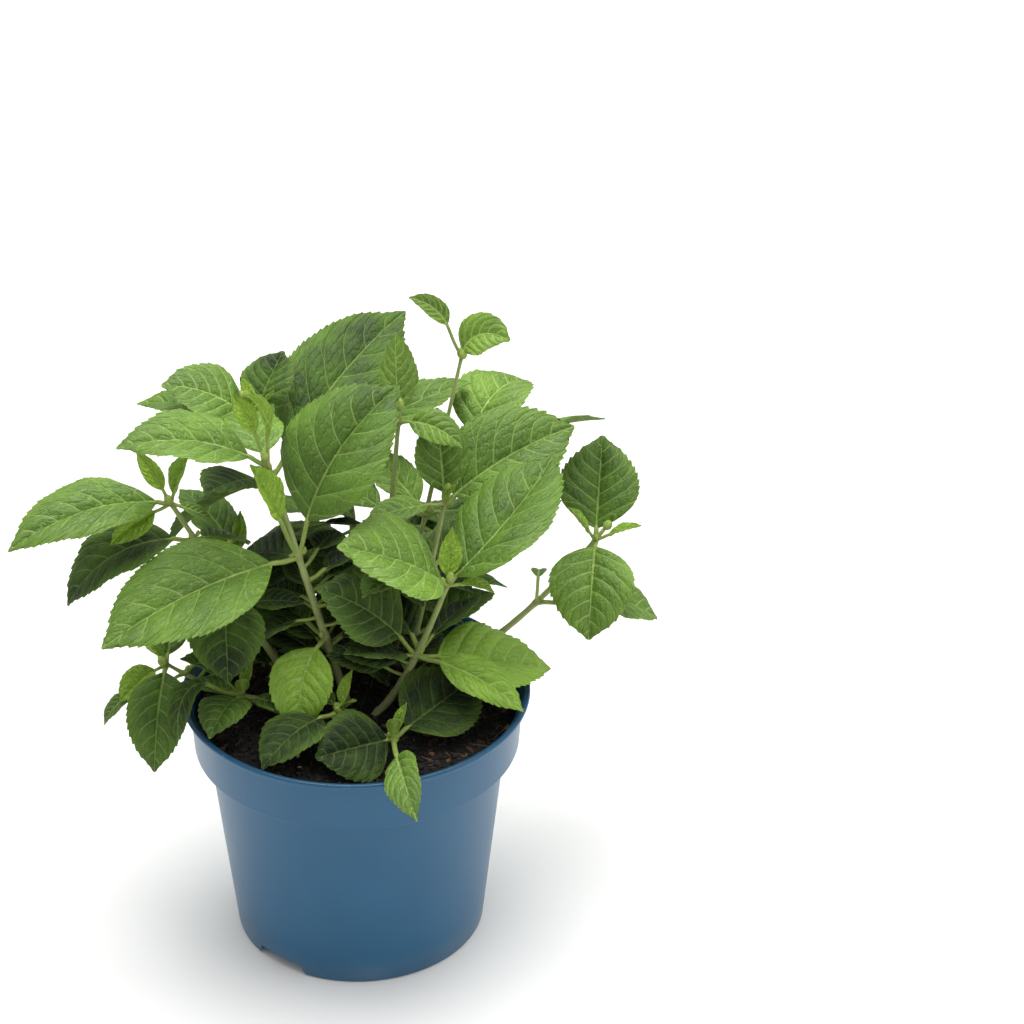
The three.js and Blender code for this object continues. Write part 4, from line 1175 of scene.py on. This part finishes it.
def pot_cutters():
    """The drain holes and the notches of the foot, as one mesh of separate bodies."""
    mesh = bmesh.new()
    for i in range(DRAIN_COUNT):
        centre = direction(360 * i / DRAIN_COUNT, 0) * DRAIN_RING_RADIUS
        place = Matrix.Translation((centre[0] * MM, centre[1] * MM, (GUTTER_HEIGHT + WALL / 2) * MM))
        bmesh.ops.create_cone(mesh, cap_ends=True, segments=DRAIN_SIDES, radius1=DRAIN_RADIUS * MM,
                              radius2=DRAIN_RADIUS * MM, depth=WALL * 3 * MM, matrix=place)
    for heading in NOTCH_HEADINGS:
        right = [(NOTCH_WIDTH / 2 + out, NOTCH_HEIGHT * share) for out, share in NOTCH_SIDE]
        outline = right + [(-side, height) for side, height in right[::-1]]
        turn = Matrix.Rotation(math.radians(heading), 4, "Z")
        near, far = ([mesh.verts.new(turn @ Vector((radius, side, height)) * MM) for side, height in outline]
                     for radius in (BASE_RADIUS - NOTCH_REACH / 2, BASE_RADIUS + NOTCH_REACH / 2))
        mesh.faces.new(near[::-1])
        mesh.faces.new(far)
        for k in range(len(outline)):
            j = (k + 1) % len(outline)
            mesh.faces.new((near[k], near[j], far[j], far[k]))
    bmesh.ops.recalc_face_normals(mesh, faces=mesh.faces)
    return mesh


def object_from(mesh, name):
    data = bpy.data.meshes.new(name)
    mesh.to_mesh(data)
    mesh.free()
    obj = bpy.data.objects.new(name, data)
    bpy.context.scene.collection.objects.link(obj)
    return obj


def make_pot(plastic):
    pot = object_from(turned_mesh(rounded(pot_profile(), CORNER_CUT, CORNER_STEPS), POT_SIDES), "pot_shell")
    cutter = object_from(pot_cutters(), "pot_cutter")
    cut = pot.modifiers.new("cut", "BOOLEAN")
    cut.operation, cut.solver, cut.object = "DIFFERENCE", "EXACT", cutter
    shaped = bpy.data.meshes.new_from_object(pot.evaluated_get(bpy.context.evaluated_depsgraph_get()))
    pot.modifiers.clear()
    plain, pot.data = pot.data, shaped
    bpy.data.meshes.remove(plain)
    bpy.data.objects.remove(cutter)
    pot.data.materials.clear()
    pot.data.materials.append(plastic)
    pot.data.shade_smooth()
    pot.data.set_sharp_from_angle(angle=math.radians(POT_SHARP))
    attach(pot, BODY)
    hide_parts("pot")


# Materials

def colour(red, green, blue):
    """A colour as it looks on a screen, from 0 to 255, as the shader's linear colour."""
    parts = [part / 255 for part in (red, green, blue)]
    linear = [part / 12.92 if part <= 0.04045 else ((part + 0.055) / 1.055) ** 2.4 for part in parts]
    return (*linear, 1)


class Wires:
    """Adds nodes to a tree and joins them up."""

    def __init__(self, tree):
        self.tree = tree

    def put(self, kind, inputs=None, **settings):
        node = self.tree.nodes.new(kind)
        for name, value in settings.items():
            setattr(node, name, value)
        for key, value in (inputs or {}).items():
            self.feed(node.inputs[key], value)
        return node

    def feed(self, socket, value):
        if isinstance(value, bpy.types.NodeSocket):
            self.tree.links.new(value, socket)
        else:
            socket.default_value = value

    def maths(self, operation, *values, clamp=False):
        inputs = dict(enumerate(values))
        return self.put("ShaderNodeMath", inputs, operation=operation, use_clamp=clamp).outputs[0]

    def times(self, one, two, clamp=False):
        return self.maths("MULTIPLY", one, two, clamp=clamp)

    def plus(self, one, two, clamp=False):
        return self.maths("ADD", one, two, clamp=clamp)

    def less(self, one, two):
        return self.maths("SUBTRACT", one, two)

    def greater(self, one, two):
        return self.maths("MAXIMUM", one, two)

    def step(self, value, low, high, start=0.0, end=1.0):
        inputs = {"Value": value, "From Min": low, "From Max": high, "To Min": start, "To Max": end}
        return self.put("ShaderNodeMapRange", inputs, interpolation_type="SMOOTHSTEP").outputs[0]

    def mix(self, share, one, two):
        return self.put("ShaderNodeMix", {0: share, 6: one, 7: two}, data_type="RGBA").outputs[2]

    def mark(self, name):
        """The three numbers of a mesh's mark."""
        vector = self.put("ShaderNodeAttribute", attribute_name=name).outputs["Vector"]
        return self.put("ShaderNodeSeparateXYZ", {0: vector}).outputs

    def place(self, x, y, z):
        return self.put("ShaderNodeCombineXYZ", {0: x, 1: y, 2: z}).outputs[0]

    def spot(self):
        """The place on the object, in metres."""
        return self.put("ShaderNodeTexCoord").outputs["Object"]

    def noise(self, vector, scale, detail=3.0, roughness=0.5):
        inputs = {"Vector": vector, "Scale": scale, "Detail": detail, "Roughness": roughness}
        return self.put("ShaderNodeTexNoise", inputs).outputs["Fac"]

    def stretched(self, vector, scale):
        return self.put("ShaderNodeMapping", {"Vector": vector, "Scale": scale}).outputs[0]

    def group(self, tree, inputs):
        node = self.put("ShaderNodeGroup", node_tree=tree)
        for key, value in inputs.items():
            self.feed(node.inputs[key], value)
        return node.outputs

    def mottle(self, groups, patch, speck, specks):
        """Light and dark patches and specks of two sizes, in metres, mixed by the specks' share."""
        inputs = {"Patch Size": patch, "Speck Size": speck, "Specks": specks}
        return self.group(groups["mottle"], inputs)["Mottle"]

    def bump(self, height, distance, strength=1.0):
        inputs = {"Height": height, "Distance": distance, "Strength": strength}
        return self.put("ShaderNodeBump", inputs).outputs[0]


def new_group(name, inputs, outputs):
    """A shader node group with named numbers as inputs and outputs."""
    tree = bpy.data.node_groups.new(name, "ShaderNodeTree")
    for label, value in inputs.items():
        tree.interface.new_socket(label, in_out="INPUT", socket_type="NodeSocketFloat").default_value = value
    for label in outputs:
        tree.interface.new_socket(label, in_out="OUTPUT", socket_type="NodeSocketFloat")
    wires = Wires(tree)
    return tree, wires, wires.put("NodeGroupInput").outputs, wires.put("NodeGroupOutput").inputs


def mottle_group():
    """Cloudy light and dark patches in two sizes, about 0.5."""
    tree, wires, given, result = new_group(
        "mottle", {"Patch Size": 0.02, "Speck Size": 0.002, "Specks": 0.3}, ("Mottle",))
    patches = wires.noise(wires.spot(), wires.maths("DIVIDE", 1.0, given["Patch Size"]), 2.0)
    specks = wires.noise(wires.spot(), wires.maths("DIVIDE", 1.0, given["Speck Size"]), 2.0)
    share = given["Specks"]
    mixed = wires.plus(wires.times(patches, wires.less(1.0, share)), wires.times(specks, share))
    wires.feed(result["Mottle"], wires.plus(wires.times(wires.less(mixed, 0.5), 1.9), 0.5, clamp=True))
    return tree


def veins_group():
    """A leaf's midrib, side veins and cross veins as masks, and their relief as seen from above."""
    tree, wires, given, result = new_group(
        "leaf_veins", {"Vein Width": 1.0, "Wander": 0.22, "Cross Spacing": 4.4, "Crinkle": 0.3},
        ("Midrib", "Side Veins", "Cross Veins", "Net", "Relief", "Share"))
    phase, share, reach = wires.mark("leaf_place")
    start, spacing, seed = wires.mark("leaf_size")

    def off(value, step):
        """Millimetres away from the lines where value passes a whole number."""
        centred = wires.maths("ABSOLUTE", wires.less(wires.maths("FRACT", value), 0.5))
        return wires.times(wires.less(0.5, centred), step)

    def line(away, width, soft=1.6):
        """1 where away is within a vein's width, fading out beyond."""
        return wires.step(away, wires.times(width, 0.25), wires.times(width, soft), 1.0, 0.0)

    coordinates = wires.place(phase, wires.times(reach, 0.11), wires.times(seed, 37.0))
    drift = wires.times(wires.less(wires.noise(coordinates, 1.1, 1.0), 0.5), given["Wander"])
    drift = wires.times(drift, wires.times(share, 2.2, clamp=True))
    main = wires.plus(phase, drift)
    width = wires.times(given["Vein Width"], wires.step(share, 0.0, 1.0, 0.42, 0.2))
    fork = wires.times(wires.step(share, 0.34, 1.1), 0.62)
    away_1 = off(main, spacing)
    away_2 = off(wires.plus(main, fork), spacing)
    away_3 = off(wires.plus(main, wires.times(wires.step(share, 0.62, 1.15), -0.36)), spacing)
    forks = wires.times(line(away_2, wires.times(width, 0.75)), wires.step(share, 0.34, 0.5))
    forks_2 = wires.times(line(away_3, wires.times(width, 0.65)), wires.step(share, 0.62, 0.72))
    side = wires.greater(line(away_1, width),
                     wires.greater(wires.times(forks, 0.8), wires.times(forks_2, 0.7)))
    cell = wires.times(wires.maths("FLOOR", main), 0.379)
    wobble = wires.noise(wires.place(wires.times(phase, 3.0), wires.times(reach, 0.2), seed),
                         1.5, 2.0)
    rung = wires.plus(wires.maths("DIVIDE", reach, given["Cross Spacing"]),
                     wires.plus(cell, wires.times(wobble, 1.5)))
    away_rung = off(rung, given["Cross Spacing"])
    rungs = wires.step(away_rung, 0.06, 0.42, 1.0, 0.0)
    rib_width = wires.times(given["Vein Width"], wires.step(start, 0.0, 1.0, 1.0, 0.3))
    rib = wires.step(reach, wires.times(rib_width, 0.45), rib_width, 1.0, 0.0)
    inputs = {"Vector": wires.spot(), "Scale": 520.0}
    net = wires.put("ShaderNodeTexVoronoi", inputs, feature="DISTANCE_TO_EDGE").outputs["Distance"]
    threads = wires.step(net, 0.02, 0.16, 1.0, 0.0)
    pillows = wires.times(wires.step(away_1, 0.0, 2.4), wires.step(away_rung, 0.0, 1.5))
    cells = wires.times(wires.step(net, 0.0, 0.34), given["Crinkle"])
    relief = wires.plus(pillows, cells)
    for mask, depth in ((rungs, 0.25), (side, 0.45), (rib, 0.8)):
        relief = wires.less(relief, wires.times(mask, depth))
    for label, value in (("Midrib", rib), ("Side Veins", side), ("Cross Veins", rungs), ("Net", threads),
                         ("Relief", relief), ("Share", share)):
        wires.feed(result[label], value)
    return tree


def new_material(name):
    material = bpy.data.materials.new(name)
    material.use_nodes = True
    shader = material.node_tree.nodes["Principled BSDF"]
    return material, Wires(material.node_tree), shader.inputs


# Colours as on a screen, a vein's width in millimetres, and shares of the effects
LEAF_LOOKS = {
    # The upper side's dark colour is this dark partly to paint the shade on leaves deep in the crown.
    "leaf_upper": SimpleNamespace(
        dark=(17, 34, 5), middle=(82, 117, 33), light=(126, 166, 44), vein=(164, 190, 104), width=1.0,
        crinkle=0.2, margin=0.2, net=0.14, cross=0.34, side=0.6, rib=0.9, rough=0.46, relief=1.0, gloss=0.36),
    "leaf_lower": SimpleNamespace(
        dark=(98, 124, 62), middle=(122, 148, 76), light=(140, 164, 84), vein=(172, 188, 116), width=1.25,
        crinkle=0.2, margin=0.1, net=0.1, cross=0.35, side=0.6, rib=0.85, rough=0.62, relief=-0.8, gloss=0.3),
    "young_leaf_upper": SimpleNamespace(
        dark=(88, 126, 28), middle=(118, 158, 40), light=(148, 186, 56), vein=(178, 208, 92), width=0.9,
        crinkle=0.8, margin=0.4, net=0.1, cross=0.2, side=0.35, rib=0.8, rough=0.46, relief=1.3, gloss=0.5),
    "young_leaf_lower": SimpleNamespace(
        dark=(112, 146, 52), middle=(136, 168, 64), light=(158, 188, 80), vein=(178, 204, 100), width=1.1,
        crinkle=0.5, margin=0.2, net=0.1, cross=0.3, side=0.45, rib=0.8, rough=0.6, relief=-0.9, gloss=0.3),
}
LEAF_BUMP = 0.00032


def leaf_material(name, look, groups):
    """Skin of a leaf's upper or lower side. On darker leaves, whose darkness is partly painted shade, the
    veins are fainter and the skin is duller.
    """
    material, wires, skin = new_material(name)
    veins = wires.group(groups["veins"], {"Vein Width": look.width, "Crinkle": look.crinkle})
    mottle = wires.mottle(groups, 0.018, 0.0016, 0.25)
    # The lightness mark is partly the leaf's own tone and partly painted shade: it darkens the body, fades
    # the veins and dulls the skin.
    tone_and_shade = wires.mark("leaf_tone_and_shade")[0]
    tone = wires.plus(wires.times(tone_and_shade, 0.75), wires.times(mottle, 0.38))
    body = wires.mix(wires.step(tone, 0.1, 0.6), colour(*look.dark), colour(*look.middle))
    body = wires.mix(wires.step(tone, 0.5, 0.98), body, colour(*look.light))
    margin = wires.times(wires.step(veins["Share"], 0.55, 1.0), look.margin)
    body = wires.mix(margin, body, colour(*look.light))
    pale = wires.step(tone_and_shade, 0.0, 0.6, 0.22, 1.0)
    fine = wires.times(pale, pale)
    for mask, share in ((wires.times(veins["Net"], fine), look.net),
                        (wires.times(veins["Cross Veins"], fine), look.cross),
                        (veins["Side Veins"], look.side), (veins["Midrib"], look.rib)):
        body = wires.mix(wires.times(wires.times(mask, pale), share), body, colour(*look.vein))
    wires.feed(skin["Base Color"], body)
    rough = wires.step(mottle, 0.0, 1.0, look.rough - 0.06, look.rough + 0.08)
    wires.feed(skin["Roughness"], wires.plus(rough, wires.step(tone_and_shade, 0.0, 0.6, 0.24, 0.0)))
    wires.feed(skin["Normal"], wires.bump(wires.times(veins["Relief"], look.relief), LEAF_BUMP))
    skin["Specular IOR Level"].default_value = look.gloss
    return material


def stem_material(groups):
    """Green young bark, paler and greyer towards the soil, partly as painted light that offsets the shade of
    the leaves over the low stems, browner at the nodes, with pale specks.
    """
    material, wires, skin = new_material("young_bark")
    kind, _, knot = wires.mark("limb_place")
    mottle = wires.mottle(groups, 0.006, 0.0009, 0.45)
    # Painted light, in part: the low stems are made pale to offset the shade the leaves cast on them, as well
    # as for their own grey-green bark.
    body = wires.mix(wires.step(kind, 0.0, 0.45), colour(176, 180, 126), colour(156, 168, 104))
    body = wires.mix(wires.step(kind, 0.5, 1.3), body, colour(136, 158, 72))
    body = wires.mix(wires.step(kind, 1.3, 1.7), body, colour(146, 168, 74))
    body = wires.mix(wires.times(wires.step(mottle, 0.3, 0.9), 0.35), body, colour(98, 108, 52))
    body = wires.mix(wires.times(wires.step(knot, 0.2, 1.0), 0.3), body, colour(116, 92, 52))
    streaks = wires.noise(wires.stretched(wires.spot(), (1, 1, 0.12)), 900.0, 2.0)
    specks = wires.put("ShaderNodeTexVoronoi", {"Vector": wires.stretched(wires.spot(), (1, 1, 0.4)),
                                                "Scale": 330.0}).outputs["Distance"]
    body = wires.mix(wires.step(specks, 0.1, 0.2, 0.35, 0.0), body, colour(170, 176, 120))
    wires.feed(skin["Base Color"], body)
    wires.feed(skin["Roughness"], wires.step(mottle, 0.0, 1.0, 0.42, 0.6))
    wires.feed(skin["Normal"], wires.bump(wires.plus(streaks, mottle), 0.0003, 0.5))
    return material


# Peat is made near black, partly as painted shade, since the soil lies in the shade of the crown.
def peat_material(groups):
    material, wires, skin = new_material("peat")
    mottle = wires.mottle(groups, 0.009, 0.0012, 0.6)
    body = wires.mix(wires.step(mottle, 0.25, 0.8), colour(6, 5, 4), colour(21, 16, 12))
    fine = wires.noise(wires.spot(), 1600.0, 4.0, 0.7)
    body = wires.mix(wires.step(fine, 0.62, 0.76, 0.0, 0.4), body, colour(48, 35, 26))
    wires.feed(skin["Base Color"], body)
    wires.feed(skin["Roughness"], wires.step(mottle, 0.0, 1.0, 0.8, 0.98))
    wires.feed(skin["Normal"], wires.bump(wires.plus(fine, mottle), 0.0009, 0.9))
    return material


# Crumbs, chips and fibres on the soil: colour and roughness. The crumbs and chips are kept dark, partly as
# painted shade over the soil.
BITS = {
    "dark_peat_crumb": ((11, 9, 7), 0.85), "brown_bark_chip": ((27, 20, 15), 0.85),
    "red_bark_chip": ((60, 40, 27), 0.85), "tan_fibre": ((104, 74, 46), 0.85),
    "pale_grain": ((206, 190, 150), 0.5),
}


def bit_material(name, groups):
    """A bit of one plain colour, grainy and matt."""
    body, rough = BITS[name]
    material, wires, skin = new_material(name)
    mottle = wires.mottle(groups, 0.003, 0.0006, 0.6)
    skin["Base Color"].default_value = colour(*body)
    wires.feed(skin["Roughness"], wires.step(mottle, 0.0, 1.0, rough - 0.1, min(rough + 0.1, 1)))
    wires.feed(skin["Normal"], wires.bump(mottle, 0.0004, 0.7))
    return material


def plastic_material(groups):
    """Moulded blue plastic with faint clouds, a dark rim that is painted shade from the leaves, scuffs on the
    lip that partly paint highlights, and a little dust low down.
    """
    material, wires, skin = new_material("blue_plastic")
    mottle = wires.mottle(groups, 0.04, 0.0011, 0.25)
    body = wires.mix(mottle, colour(16, 82, 118), colour(24, 89, 126))
    heights = wires.put("ShaderNodeSeparateXYZ", {0: wires.spot()}).outputs[2]
    dust = wires.times(wires.step(heights, 0.0, 0.02, 0.3, 0.0), mottle)
    body = wires.mix(dust, body, colour(132, 140, 140))
    # Painted shade: the top of the lip is darkened where the leaves' shadow falls on it.
    rim = wires.step(heights, (POT_HEIGHT - 1.1) * MM, (POT_HEIGHT - 0.3) * MM, 0.0, 0.6)
    body = wires.mix(rim, body, colour(8, 44, 66))
    # Paler scuffs on the lip: partly wear, partly painted highlights where the lip catches the light; they
    # also roughen the lip.
    scuffs_and_highlights = wires.step(wires.noise(wires.stretched(wires.spot(), (1, 1, 3.0)), 260.0, 4.0, 0.7), 0.66, 0.74)
    lip = wires.step(heights, (POT_HEIGHT - LIP_HEIGHT) * MM, POT_HEIGHT * MM)
    body = wires.mix(wires.times(wires.times(scuffs_and_highlights, lip), 0.3), body, colour(150, 182, 204))
    wires.feed(skin["Base Color"], body)
    rough = wires.step(mottle, 0.0, 1.0, 0.3, 0.36)
    wires.feed(skin["Roughness"], wires.plus(rough, wires.times(scuffs_and_highlights, 0.14)))
    skin["Specular IOR Level"].default_value = 0.42
    grain = wires.noise(wires.spot(), 2600.0, 2.0)
    wires.feed(skin["Normal"], wires.bump(grain, 0.00005, 0.5))
    return material


def floor_material():
    material, _, skin = new_material("pale_floor")
    skin["Base Color"].default_value = (0.92, 0.915, 0.895, 1)
    skin["Roughness"].default_value = 0.9
    return material


# Studio

def make_camera():
    turn, pitch, roll = (math.radians(angle) for angle in (CAMERA_TURN, CAMERA_PITCH, CAMERA_ROLL))
    ahead = np.array([math.sin(turn) * math.cos(pitch), math.cos(turn) * math.cos(pitch), -math.sin(pitch)])
    level = np.array([math.cos(turn), -math.sin(turn), 0])
    above = np.cross(level, ahead)
    right = math.cos(roll) * level + math.sin(roll) * above
    up = -math.sin(roll) * level + math.cos(roll) * above
    data = bpy.data.cameras.new("camera")
    data.lens, data.sensor_width, data.sensor_fit = CAMERA_LENS, CAMERA_SENSOR, "HORIZONTAL"
    data.clip_start, data.clip_end = 0.05, 50
    camera = bpy.data.objects.new("camera", data)
    rows = [(*axes, place) for axes, place in zip(zip(right, up, -ahead), CAMERA_PLACE)]
    camera.matrix_world = Matrix([*rows, (0, 0, 0, 1)])
    bpy.context.scene.collection.objects.link(camera)
    bpy.context.scene.camera = camera


# Soft round lights, all turned to the middle of the plant: place and size in metres, power in watts
PLANT_MIDDLE = (0, 0, 0.18)
LIGHTS = {
    "key_light": ((-0.3, 0.0, 2.0), 1.4, 10),
    "top_light": ((0.1, 0.42, 2.0), 2.0, 36),
    "right_light": ((1.5, -0.5, 0.9), 1.2, 4),
}
FLOOR_REACH = 6
FLOOR_DROP = 0.0003


def add_light(name, place, size, power):
    data = bpy.data.lights.new(name, "AREA")
    data.shape, data.size, data.energy = "DISK", size, power
    light = bpy.data.objects.new(name, data)
    away = Vector(place) - Vector(PLANT_MIDDLE)
    light.matrix_world = Matrix.Translation(place) @ away.to_track_quat("Z", "Y").to_matrix().to_4x4()
    bpy.context.scene.collection.objects.link(light)


def make_studio():
    mesh = bpy.data.meshes.new("floor")
    corners = [(x * FLOOR_REACH, y * FLOOR_REACH, 0) for x, y in ((-1, -1), (1, -1), (1, 1), (-1, 1))]
    mesh.from_pydata(corners, [], [(0, 1, 2, 3)])
    mesh.materials.append(floor_material())
    floor = bpy.data.objects.new("floor", mesh)
    floor.location.z = -FLOOR_DROP
    bpy.context.scene.collection.objects.link(floor)
    for name, (place, size, power) in LIGHTS.items():
        add_light(name, place, size, power)
    world = bpy.data.worlds.new("studio")
    bpy.context.scene.world = world
    world.use_nodes = True
    wires = Wires(world.node_tree)
    backdrop = world.node_tree.nodes["Background"].inputs
    backdrop["Color"].default_value = (1, 1, 1, 1)
    around = wires.put("ShaderNodeTexCoord").outputs["Generated"]
    way = wires.put("ShaderNodeSeparateXYZ", {0: around}).outputs[2]
    wires.feed(backdrop["Strength"], wires.step(way, -0.1, 0.8, 0.38, 0.72))
    bpy.context.scene.view_settings.view_transform = "Standard"


def make_everything():
    groups = {"mottle": mottle_group(), "veins": veins_group()}
    bark = stem_material(groups)
    make_camera()
    make_studio()
    make_pot(plastic_material(groups))
    make_soil(peat_material(groups), [bit_material(name, groups) for name in BITS])
    make_stems([bark])
    make_leaves([leaf_material(name, look, groups) for name, look in LEAF_LOOKS.items()])


make_everything()
